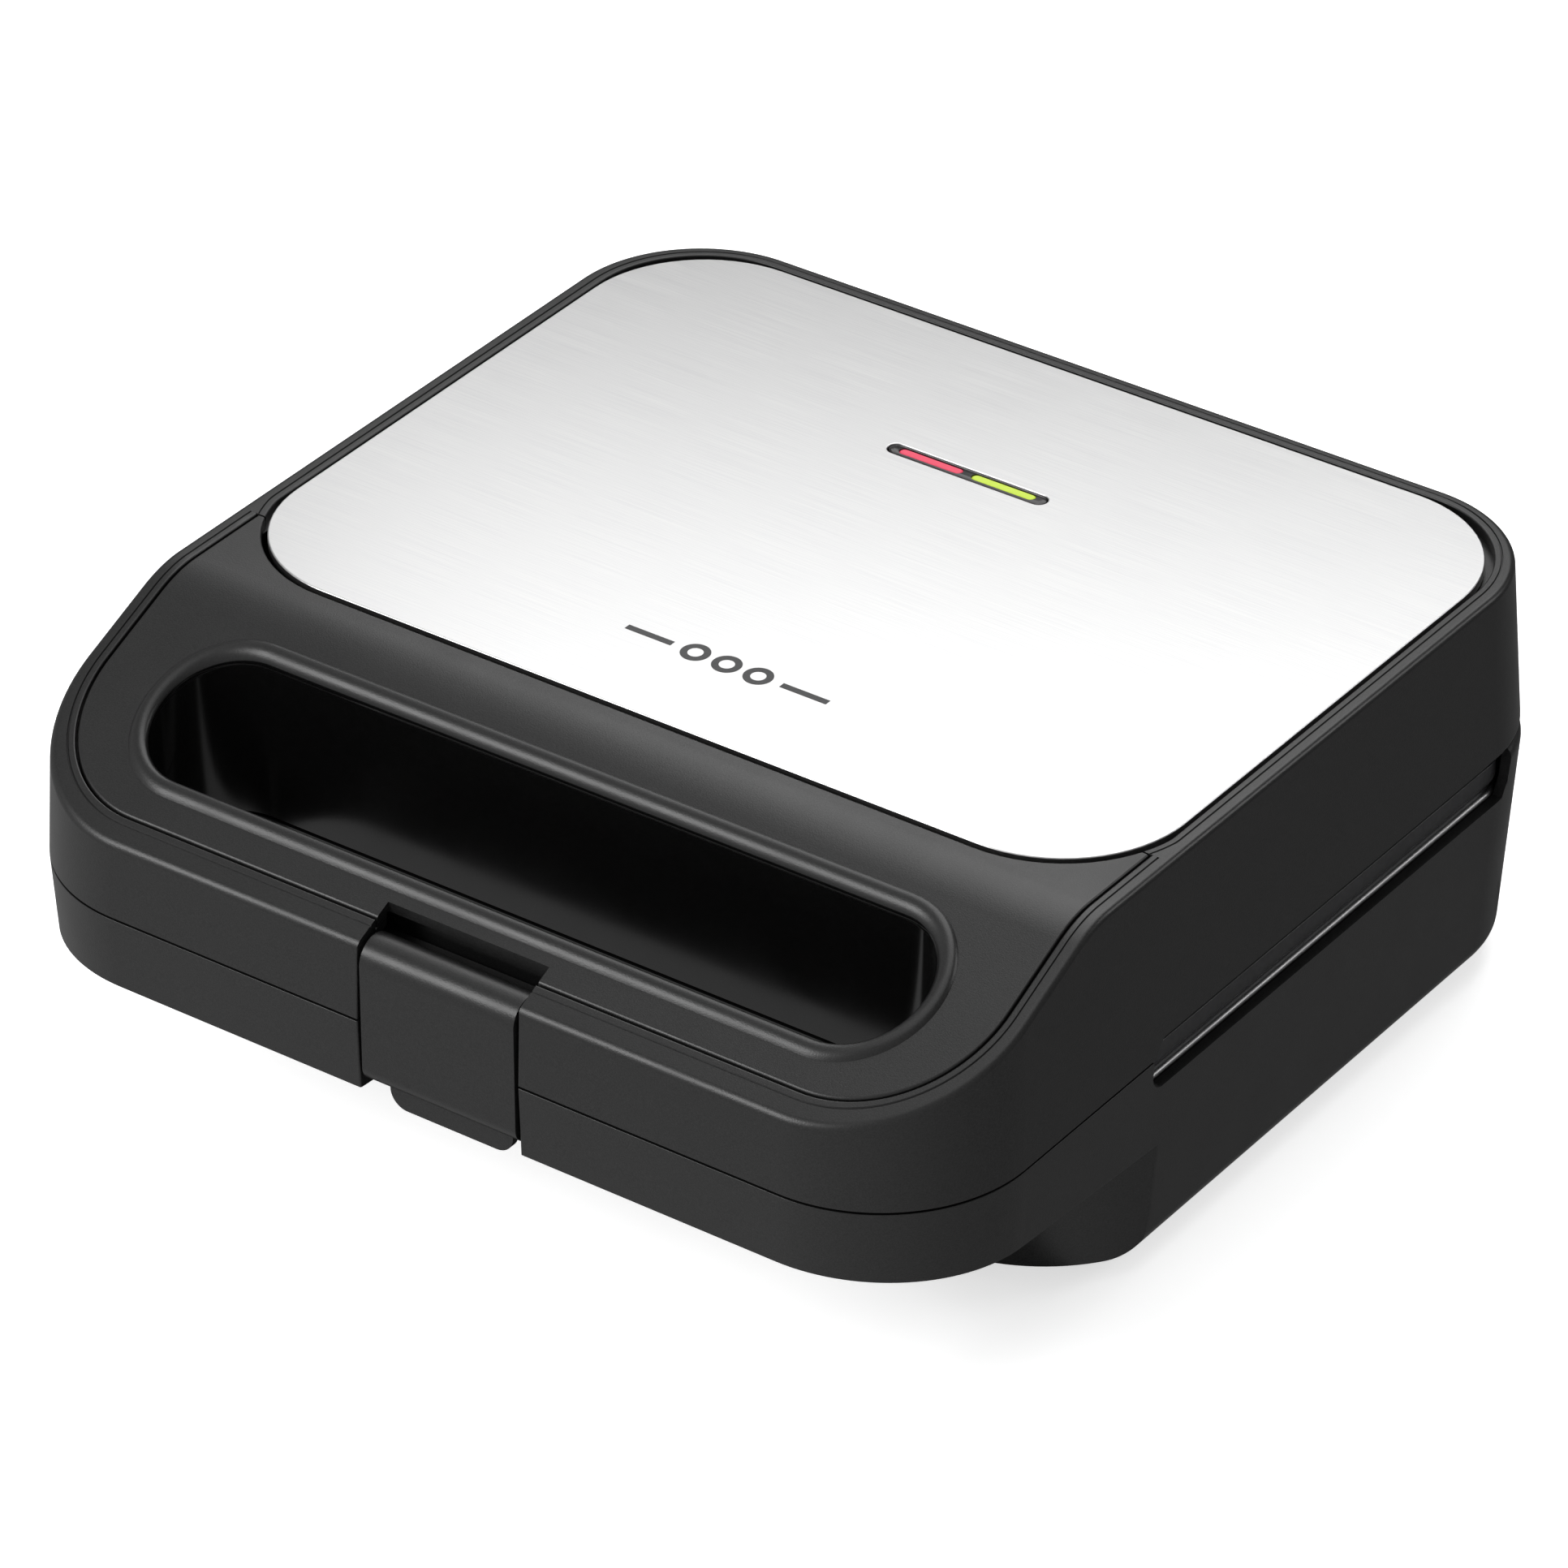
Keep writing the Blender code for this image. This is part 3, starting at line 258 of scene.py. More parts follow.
@dataclass
class FinishSet:
    """Every finish on the machine, built once."""

    moulded_abs: bpy.types.Material = field(init=False)
    polished_shaded_abs: bpy.types.Material = field(init=False)
    shaded_inner_abs: bpy.types.Material = field(init=False)
    brushed_stainless: bpy.types.Material = field(init=False)
    smoked_acrylic: bpy.types.Material = field(init=False)
    red_acrylic: bpy.types.Material = field(init=False)
    green_acrylic: bpy.types.Material = field(init=False)
    nonstick_coating: bpy.types.Material = field(init=False)
    bare_aluminium: bpy.types.Material = field(init=False)
    plated_steel: bpy.types.Material = field(init=False)
    moulded_rubber: bpy.types.Material = field(init=False)
    fired_ceramic: bpy.types.Material = field(init=False)
    woven_sleeve: bpy.types.Material = field(init=False)
    printed_ink: bpy.types.Material = field(init=False)

    def __post_init__(self) -> None:
        """Builds each material."""
        # ABS moulded in a spark-eroded tool: a soft satin black that greys where it faces the light.
        # Its real 0.1 mm grain is drawn at 0.3 mm so that it shows.
        self.moulded_abs = Grained("moulded_abs", "0e0e0e", "1d1d1d", (0.31, 0.37), 0.30, 0.045).build()
        # The same plastic off a polished core, down the grip opening: smooth, so it mirrors what is dark, and
        # coloured darker than the rest as painted shade.
        self.polished_shaded_abs = Grained("polished_shaded_abs", "0a0a0a", "0c0c0c", (0.12, 0.16), 2.0, 0.002).build()
        # The same plastic in the inner surrounds: coarser, duller and coloured darker as painted shade, so the side
        # gap reads dark.
        self.shaded_inner_abs = Grained("shaded_inner_abs", "090909", "111111", (0.5, 0.6), 0.40, 0.05, specular=0.3).build()
        # Stainless sheet brushed lengthways: pale, streaked, softly mirrored.
        self.brushed_stainless = Brushed("brushed_stainless", "cbcbcc", "d8d8d7", (0.28, 0.35), 28.0, 0.25,
                                         0.003).build()
        # Smoked acrylic: dark and glossy, with the lamps seen through it.
        self.smoked_acrylic = ClearPlastic("smoked_acrylic", "1c1a1b", 0.12, 0.0).build()
        self.red_acrylic = ClearPlastic("red_acrylic", "d8405c", 0.2, 0.0, 0.25).build()
        self.green_acrylic = ClearPlastic("green_acrylic", "b9d23c", 0.2, 0.0, 0.25).build()
        # PTFE sprayed on cast aluminium: near black, smoother than the plastic, faintly orange-peeled.
        self.nonstick_coating = Grained("nonstick_coating", "1b1b1c", "252526", (0.28, 0.36), 1.2, 0.012).build()
        # Aluminium left bare by machining: light grey, smooth, softly clouded.
        self.bare_aluminium = Grained("bare_aluminium", "9a9a9b", "a6a6a6", (0.36, 0.44), 1.5, 0.001, 6.0,
                                      1.0).build()
        # Zinc-plated steel: grey and slightly cloudy.
        self.plated_steel = Grained("plated_steel", "8d8f92", "b0b2b4", (0.26, 0.42), 2.0, 0.006, 6.0, 1.0).build()
        # Moulded rubber: dull black, a little greyer than the plastic.
        self.moulded_rubber = Grained("moulded_rubber", "141414", "1f1f1f", (0.7, 0.85), 0.6, 0.03).build()
        # Unglazed fired ceramic: chalky off-white.
        self.fired_ceramic = Grained("fired_ceramic", "cfcabc", "e2ded2", (0.6, 0.75), 0.8, 0.03).build()
        # Glass-fibre sleeve: a cream weave with 0.8 mm thread spacing.
        self.woven_sleeve = Grained("woven_sleeve", "b8b19d", "ddd8c8", (0.7, 0.85), 0.8, 0.12).build()
        # Silk-screened ink: flat dark grey.
        self.printed_ink = Grained("printed_ink", "3a3a3b", "444445", (0.5, 0.6), 0.5, 0.004).build()


# ---- mesh work --------------------------------------------------------------------------------------
def add_object(name: str, bm: bmesh.types.BMesh, finish: Optional[bpy.types.Material] = None) -> bpy.types.Object:
    """Turns a bmesh in millimetres into an object in metres with outward faces.

    Args:
        name: the piece.
        bm: its faces, in millimetres; it is freed here.
        finish: its material, if it has one.

    Returns:
        The object, linked to the scene.
    """
    bmesh.ops.recalc_face_normals(bm, faces=bm.faces)
    bmesh.ops.scale(bm, vec=(MM, MM, MM), verts=bm.verts)
    mesh = bpy.data.meshes.new(name)
    bm.to_mesh(mesh)
    bm.free()
    made = bpy.data.objects.new(name, mesh)
    bpy.context.scene.collection.objects.link(made)
    if finish:
        mesh.materials.append(finish)
    return made


def loft(name: str, rings: Sequence[Sequence[Point3]], finish: Optional[bpy.types.Material] = None,
         ring_of_rings: bool = False) -> bpy.types.Object:
    """Skins rings of equal length; the ends are capped unless the rings close on themselves.

    Args:
        name: the piece.
        rings: rows of points, in order along the skin.
        finish: its material, if it has one.
        ring_of_rings: True if the last row joins the first.

    Returns:
        The skinned object.
    """
    bm = bmesh.new()
    loops = [[bm.verts.new(point) for point in ring] for ring in rings]
    pairs = list(zip(loops, loops[1:]))
    if ring_of_rings:
        pairs.append((loops[-1], loops[0]))
    else:
        bm.faces.new(loops[0])
        bm.faces.new(loops[-1])
    for low, high in pairs:
        for i in range(len(low)):
            j = (i + 1) % len(low)
            bm.faces.new((low[i], low[j], high[j], high[i]))
    return add_object(name, bm, finish)


def prism(name: str, outline: Sequence[Point2], low: float, high: float,
          finish: Optional[bpy.types.Material] = None) -> bpy.types.Object:
    """An upright prism over (x, y) points."""
    return loft(name, [[(x, y, z) for x, y in outline] for z in (low, high)], finish)


def box(name: str, low: Point3, high: Point3, finish: Optional[bpy.types.Material] = None) -> bpy.types.Object:
    """A block between two corners."""
    outline = [(low[0], low[1]), (high[0], low[1]), (high[0], high[1]), (low[0], high[1])]
    return prism(name, outline, low[2], high[2], finish)


def side_prism(name: str, outline: Sequence[Point2], low: float, high: float,
               finish: Optional[bpy.types.Material] = None) -> bpy.types.Object:
    """A prism along X over (y, z) points."""
    return loft(name, [[(x, y, z) for y, z in outline] for x in (low, high)], finish)


def arc(centre: Point2, radius: float, start: float, end: float, steps: int) -> list[Point2]:
    """Points on a circle arc, angles in degrees, ends included."""
    turns = [radians(start + (end - start) * i / steps) for i in range(steps + 1)]
    return [(centre[0] + radius * cos(t), centre[1] + radius * sin(t)) for t in turns]


def rounded_rect(half: float, front: float, back: float, radius: float, steps: int = 16) -> list[Point2]:
    """A rectangle with round corners, anticlockwise from the front right corner.

    Args:
        half: half its width.
        front: its lowest y.
        back: its highest y.
        radius: corner radius.
        steps: points in each corner.

    Returns:
        The outline, anticlockwise.
    """
    points: list[Point2] = []
    for x, y, start in ((half, front, -90), (half, back, 0), (-half, back, 90), (-half, front, 180)):
        centre = (x - radius * (1 if x > 0 else -1), y + radius * (1 if y == front else -1))
        points += arc(centre, radius, start, start + 90, steps)
    return points


def stadium(half: float, centre_y: float, radius: float, steps: int = 28) -> list[Point2]:
    """A slot outline with round ends along X."""
    return arc((half, centre_y), radius, -90, 90, steps) + arc((-half, centre_y), radius, 90, 270, steps)


def lathe(name: str, profile: Sequence[Point2], place: Point3, finish: Optional[bpy.types.Material] = None,
          steps: int = 48, turn: Optional[Matrix] = None) -> bpy.types.Object:
    """Turns a closed (radius, z) profile round the Z axis.

    Args:
        name: the piece.
        profile: closed (radius, z) outline.
        place: where its origin goes.
        finish: its material, if it has one.
        steps: facets round it.
        turn: rotation before it is placed.

    Returns:
        The turned object.
    """
    bm = bmesh.new()
    columns = []
    for i in range(steps):
        angle = 2 * pi * i / steps
        columns.append([bm.verts.new((r * cos(angle), r * sin(angle), z)) for r, z in profile])
    count = len(profile)
    for i in range(steps):
        here, there = columns[i], columns[(i + 1) % steps]
        for j in range(count):
            k = (j + 1) % count
            if profile[j][0] == 0 and profile[k][0] == 0:
                continue
            bm.faces.new((here[j], there[j], there[k], here[k]))
    bmesh.ops.remove_doubles(bm, verts=bm.verts, dist=1e-5)
    if turn:
        bmesh.ops.transform(bm, matrix=turn, verts=bm.verts)
    bmesh.ops.translate(bm, vec=place, verts=bm.verts)
    return add_object(name, bm, finish)


def rod(name: str, start: Point3, end: Point3, radius: float, finish: Optional[bpy.types.Material] = None,
        steps: int = 48, edge: float = 0.0) -> bpy.types.Object:
    """A round bar between two points, with its ends chamfered by edge.

    Args:
        name: the piece.
        start: centre of one end.
        end: centre of the other.
        radius: its radius.
        finish: its material, if it has one.
        steps: facets round it.
        edge: chamfer of the ends.

    Returns:
        The bar.
    """
    first, last = Vector(start), Vector(end)
    length = (last - first).length
    turn = (last - first).to_track_quat("Z", "Y").to_matrix().to_4x4()
    profile = [(0, 0), (radius, 0), (radius, length), (0, length)]
    if edge:
        profile = [(0, 0), (radius - edge, 0), (radius, edge), (radius, length - edge), (radius - edge, length),
                   (0, length)]
    return lathe(name, profile, tuple(first), finish, steps, turn)


def combine(target: bpy.types.Object, other: bpy.types.Object, operation: str) -> None:
    """Applies an exact Boolean and removes the helper.

    Args:
        target: the piece that is changed.
        other: the helper, used up here.
        operation: the Boolean to apply.
    """
    modifier = target.modifiers.new(operation, "BOOLEAN")
    modifier.operation = operation
    modifier.solver = "EXACT"
    modifier.object = other
    graph = bpy.context.evaluated_depsgraph_get()
    mesh = bpy.data.meshes.new_from_object(target.evaluated_get(graph))
    target.modifiers.clear()
    old = target.data
    target.data = mesh
    mesh.name = target.name
    bpy.data.meshes.remove(old)
    bpy.data.objects.remove(other)


def cut(target: bpy.types.Object, *others: bpy.types.Object) -> None:
    """Cuts each helper out of the target."""
    for other in others:
        combine(target, other, "DIFFERENCE")


def join(target: bpy.types.Object, *others: bpy.types.Object) -> None:
    """Joins each helper onto the target."""
    for other in others:
        combine(target, other, "UNION")


def keep(target: bpy.types.Object, other: bpy.types.Object) -> None:
    """Keeps only what lies inside the helper."""
    combine(target, other, "INTERSECT")


def soften(piece: bpy.types.Object, width: float = 0.0, segments: int = 3, sharp: float = 32.0) -> None:
    """Rounds a piece's hard edges and evens its shading.

    Args:
        piece: the object.
        width: the rounding in millimetres, or 0 for none.
        segments: steps in the rounding.
        sharp: edges bent more than this many degrees count as hard.
    """
    piece.data.shade_smooth()
    if width:
        bevel = piece.modifiers.new("edges", "BEVEL")
        bevel.width = width * MM
        bevel.segments = segments
        bevel.limit_method = "ANGLE"
        bevel.angle_limit = radians(sharp)
        bevel.harden_normals = True
        bevel.use_clamp_overlap = True
        bevel.miter_outer = "MITER_ARC"
    else:
        piece.data.set_sharp_from_angle(angle=radians(sharp))
    even = piece.modifiers.new("even_shading", "WEIGHTED_NORMAL")
    even.keep_sharp = True
    even.weight = 80


def dress(piece: bpy.types.Object, body: Body, slot: Slot, *nodes: str) -> None:
    """Fixes a piece to its body, hides the CAD nodes it stands for, and reports it.

    Args:
        piece: the finished piece.
        body: what it moves with.
        slot: not used.
        nodes: CAD nodes that it replaces.
    """
    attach(piece, body.value)
    if nodes:
        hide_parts(*nodes)
    LOG.info("%s: %d faces on %s", piece.name, len(piece.data.polygons), body.value)


# ---- the body's form --------------------------------------------------------------------------------
@dataclass(frozen=True)
class BodyForm:
    """The outline, drafts and top surface that the lid and the base share, in millimetres."""

    width: float = 224.6
    depth: float = 230.6
    height: float = 93.0
    foot: float = 5.0
    corner_front: float = 33.0
    corner_back: float = 30.0
    wall: float = 2.2
    parting: float = 0.5
    parting_drop: float = 42.0
    parting_round: float = 0.15
    rear_round: float = 1.8
    rear_drop: float = 45.0
    corner_drop: float = 39.4
    step_setback: float = 5.0
    step_length: float = 5.0
    lean_top: tuple[float, float, float] = (1.3, 1.7, 3.7)
    lean_base: tuple[float, float, float] = (2.6, 1.6, 1.8)
    slope: float = 0.44
    bend_setback: float = 56.8
    bend_half: float = 5.5
    rim_drop: float = 0.2
    rim: tuple[float, float, float] = (4.3, 5.8, 3.7)
    rim_depth: float = 2.4
    rim_fillet: float = 1.3
    ledge: float = 3.4
    panel_width: float = 212.0
    panel_depth: float = 156.0
    panel_corner: float = 28.0
    panel_setback: float = 66.3
    panel_gap: float = 1.2
    cover_gap: float = 0.5
    horn: float = 16.0
    hinge_offset: float = 6.7
    hinge_radius: float = 5.5
    hinge_centre: float = 65.0
    hinge_pin: float = 2.0
    knuckle: float = 13.4
    ear: float = 6.0
    gap: float = 0.3
    gap_setback: float = 80.3
    gap_length: float = 122.0
    gap_top_drop: float = 38.1
    gap_bottom_drop: float = 49.5
    gap_slant: float = 3.8
    grip_half: float = 75.6
    grip_radius: float = 14.7
    grip_setback: float = 31.3
    tube_wall: float = 2.0
    recess_width: float = 38.2
    recess_lid: float = 10.6
    recess_base: float = 8.0
    recess_flare: float = 0.4
    pin_play: float = 0.1
    latch_drop: float = 29.5
    latch_barrel: float = 5.0
    plate_setback: float = 72.3
    plate_depth: float = 138.0
    corner_step: int = 3

    @property
    def half(self) -> float:
        """Half the width."""
        return self.width / 2

    @property
    def front(self) -> float:
        """Y of the handle's face."""
        return -(self.depth + self.hinge_offset + self.hinge_radius) / 2

    @property
    def back(self) -> float:
        """Y of the back wall."""
        return self.front + self.depth

    @property
    def split(self) -> float:
        """Height of the parting line at the handle."""
        return self.height - self.parting_drop

    @property
    def rear_split(self) -> float:
        """Height of the parting line at the back."""
        return self.height - self.rear_drop

    @property
    def panel_front(self) -> float:
        """Y of the panel's front edge."""
        return self.front + self.panel_setback

    @property
    def panel_y(self) -> float:
        """Y of the panel's centre."""
        return self.panel_front + self.panel_depth / 2

    @property
    def bend_y(self) -> float:
        """Y where the slope begins."""
        return self.front + self.bend_setback

    @property
    def grip_y(self) -> float:
        """Y of the grip opening's centre line."""
        return self.front + self.grip_setback

    @property
    def gap_front(self) -> float:
        """Y where the side gap starts."""
        return self.front + self.gap_setback

    @property
    def gap_back(self) -> float:
        """Y where the side gap ends."""
        return self.gap_front + self.gap_length

    @property
    def hinge(self) -> Point2:
        """The hinge axis, as (y, z)."""
        return self.back + self.hinge_offset, self.rear_split

    @property
    def latch(self) -> Point2:
        """The latch pin's axis, as (y, z)."""
        return self.front + self.latch_barrel + 0.1, self.height - self.latch_drop

    def top(self, y: float) -> float:
        """Height of the top surface at y.

        Args:
            y: place from front to back.

        Returns:
            The height in millimetres.
        """
        fall = self.bend_y - y
        level = self.height - self.rim_drop
        if fall <= -self.bend_half:
            return level
        if fall >= self.bend_half:
            return level - self.slope * fall
        return level - self.slope * (fall + self.bend_half) ** 2 / (4 * self.bend_half)

    def under_top(self, depth: float) -> Height:
        """A height function a given depth below the top surface."""
        return lambda y: self.top(y) - depth

    def lean(self, z: float) -> tuple[float, float, float]:
        """How far the side, front and back walls have leaned in at height z.

        Args:
            z: the height.

        Returns:
            The lean of the side, front and back walls.
        """
        above = max(0.0, (z - self.split) / self.parting_drop)
        below = max(0.0, (self.split - z) / (self.split - self.foot))
        side, front, back = (t * above + b * below for t, b in zip(self.lean_top, self.lean_base))
        return side, front, back

    def side_stations(self) -> list[float]:
        """Places along a straight side that need a line of points.

        Returns:
            Y of each line, front to back.
        """
        bend = [self.bend_y + self.bend_half * i / 8 for i in range(-8, 9)]
        tip = self.panel_front + self.horn
        tangent = self.panel_front + self.panel_corner
        horn = [tip - 0.1] + [tip + (tangent - tip) * i / 8 for i in range(9)]
        slants = [self.gap_front - self.gap_slant * i / 8 for i in range(-1, 10)]
        places = sorted(y for y in bend + horn + slants
                        if self.front + self.corner_front + 0.5 < y < self.back - self.corner_back - 0.5)
        return [y for i, y in enumerate(places) if i == 0 or y - places[i - 1] > 0.05]

    def stations(self) -> list[tuple]:
        """Places round the outline: corner angles and the lines along each side.

        Returns:
            The places, anticlockwise from the front right corner.
        """
        step, sides = self.corner_step, self.side_stations()
        places: list[tuple] = [("arc", 1, "front", a) for a in range(-90, 1, step)]
        places += [("side", 1, y) for y in sides]
        places += [("arc", 1, "back", a) for a in range(0, 91, step)]
        places += [("arc", -1, "back", a) for a in range(90, 181, step)]
        places += [("side", -1, y) for y in reversed(sides)]
        places += [("arc", -1, "front", a) for a in range(180, 271, step)]
        return places

    def wall_point(self, place: tuple, inset: tuple[float, float, float], z: float) -> Point2:
        """Where a station lies at height z, moved in by inset (side, front, back).

        Args:
            place: a station.
            inset: how far in from the side, front and back walls.
            z: the height.

        Returns:
            The point in plan.
        """
        side, front, back = (a + b for a, b in zip(self.lean(z), inset))
        half = self.half - side
        if place[0] == "side":
            return place[1] * half, place[2]
        if place[2] == "front":
            radius = self.corner_front - (inset[0] + inset[1]) / 2
            centre_y = self.front + front + radius
        else:
            radius = self.corner_back - (inset[0] + inset[2]) / 2
            centre_y = self.back - back - radius
        angle = radians(place[3])
        return place[1] * (half - radius) + radius * cos(angle), centre_y + radius * sin(angle)

    def ring(self, inset: float | tuple[float, float, float] | Height, height: float | Height) -> list[Point3]:
        """One ring of the skin; inset and height are numbers or functions of y.

        Args:
            inset: how far in from the wall.
            height: where the ring lies.

        Returns:
            One point for each station.
        """
        points = []
        for place in self.stations():
            amount = inset(self.wall_point(place, (0.0, 0.0, 0.0), self.split)[1]) if callable(inset) else inset
            moved = amount if isinstance(amount, tuple) else (amount, amount, amount)
            z = self.height if callable(height) else height
            for _ in range(3):
                x, y = self.wall_point(place, moved, z)
                z = height(y) if callable(height) else height
            points.append((x, y, z))
        return points

    def rear_parting(self, y: float) -> float:
        """Height of the parting behind the plates: high round the corners, then down to the hinge line.

        Args:
            y: place from front to back.

        Returns:
            The height in millimetres.
        """
        high = self.height - self.corner_drop
        t = (y - (self.back - self.step_setback - self.step_length)) / self.step_length
        t = min(max(t, 0.0), 1.0)
        return high + (self.rear_split - high) * t * t * (3 - 2 * t)

    def edge_round(self, y: float) -> float:
        """Rounding of the parting edges at y: fine in front, fuller at the rear corners."""
        t = min(max((y - self.gap_back) / self.gap_slant, 0.0), 1.0)
        return self.parting_round + (self.rear_round - self.parting_round) * t

    def to_panel(self, ring: Sequence[Point3], grow: float) -> list[Point3]:
        """Bends a ring in behind the cover's ends, to follow the panel's round corner.

        Args:
            ring: points of the rim.
            grow: how far out from the panel the points may come.

        Returns:
            The bent ring.
        """
        centre_x = self.panel_width / 2 - self.panel_corner
        centre_y = self.panel_front + self.panel_corner
        moved = []
        for x, y, z in ring:
            if self.panel_front + self.horn - 0.01 < y < centre_y + 0.01:
                limit = centre_x + sqrt((self.panel_corner + grow) ** 2 - (centre_y - y) ** 2)
                x = min(abs(x), limit) * (1 if x > 0 else -1)
            moved.append((x, y, z))
        return moved

    def panel_outline(self, grow: float) -> list[Point2]:
        """The steel panel's outline, grown evenly."""
        return rounded_rect(self.panel_width / 2 + grow, self.panel_front - grow,
                            self.panel_front + self.panel_depth + grow, self.panel_corner + grow)

    def slope_profile(self, y0: float, y1: float, raised: float, bottom: Height) -> list[Point2]:
        """A (y, z) outline from the top surface, raised by some amount, down to bottom.

        Args:
            y0: front end.
            y1: back end.
            raised: how far above the surface.
            bottom: the lower side.

        Returns:
            The outline, along the top and back below.
        """
        bend = [self.bend_y + self.bend_half * i / 10 for i in range(-10, 11)]
        marks = [y0] + [y for y in bend if y0 < y < y1] + [y1]
        return [(y, self.top(y) + raised) for y in marks] + [(y, bottom(y)) for y in reversed(marks)]

    def knuckle_outline(self, upwards: bool) -> list[Point2]:
        """The (y, z) outline of a hinge barrel with its web into the wall.

        Args:
            upwards: True for the lid's side.

        Returns:
            The outline.
        """
        sign = 1 if upwards else -1
        barrel = arc(self.hinge, self.hinge_radius, -180 * sign, 130 * sign, 40)
        far, near = self.rear_split + sign * 13.0, self.rear_split + sign * 2.5
        return barrel + [(self.back - self.lean(z)[2] - self.wall / 2, z) for z in (far, near)]

    def recess(self, depth: float, grow: float = 0.0, flare: float = 0.0) -> bpy.types.Object:
        """The latch recess as a cutter, its mouth flared to round the edges.

        Args:
            depth: how deep it goes from the front.
            grow: extra on each side.
            flare: rounding of its mouth.

        Returns:
            The cutter.
        """
        half = self.recess_width / 2 + grow
        rings = []
        for z in (-FAR, self.foot, self.split, self.height, FAR):
            face = self.front + self.lean(min(max(z, self.foot), self.height))[1]
            mouth = [(half + flare * (1 - sin(radians(a))), face + flare * (1 - cos(radians(a))))
                     for a in range(0, 91, 15)] if flare else [(half, face)]
            right = [(half + flare, face - 30)] + mouth + [(half, self.front + depth + grow)]
            rings.append([(x, y, z) for x, y in right + [(-x, y) for x, y in reversed(right)]])
        return loft("recess", rings)


FORM = BodyForm()


def polish_and_shade_throat(piece: bpy.types.Object, finish: bpy.types.Material, form: BodyForm = FORM) -> None:
    """Gives the upright faces inside the grip opening their own smoother, darker finish: painted shade down the
    opening.

    Args:
        piece: a piece that the grip opening passes through.
        finish: the smooth finish, coloured darker as painted shade.
        form: the shared sizes.
    """
    piece.data.materials.append(finish)
    number = len(piece.data.materials) - 1
    for face in piece.data.polygons:
        middle = face.center / MM
        from_axis = Vector((max(abs(middle.x) - form.grip_half, 0.0), middle.y - form.grip_y)).length
        # upright faces down the grip opening take the darker smooth finish: painted shade
        if from_axis < form.grip_radius + 0.1 and abs(face.normal.z) < 0.3:
            face.material_index = number


def quarter(radius: float, steps: int) -> Iterator[Point2]:
    """Inset and depth of points round a convex edge, from the wall to the top.

    Args:
        radius: the rounding.
        steps: how many parts it is drawn in.

    Returns:
        Pairs of inset and depth.
    """
    for i in range(steps + 1):
        angle = radians(90 * i / steps)
        yield radius * (1 - cos(angle)), radius * (1 - sin(angle))


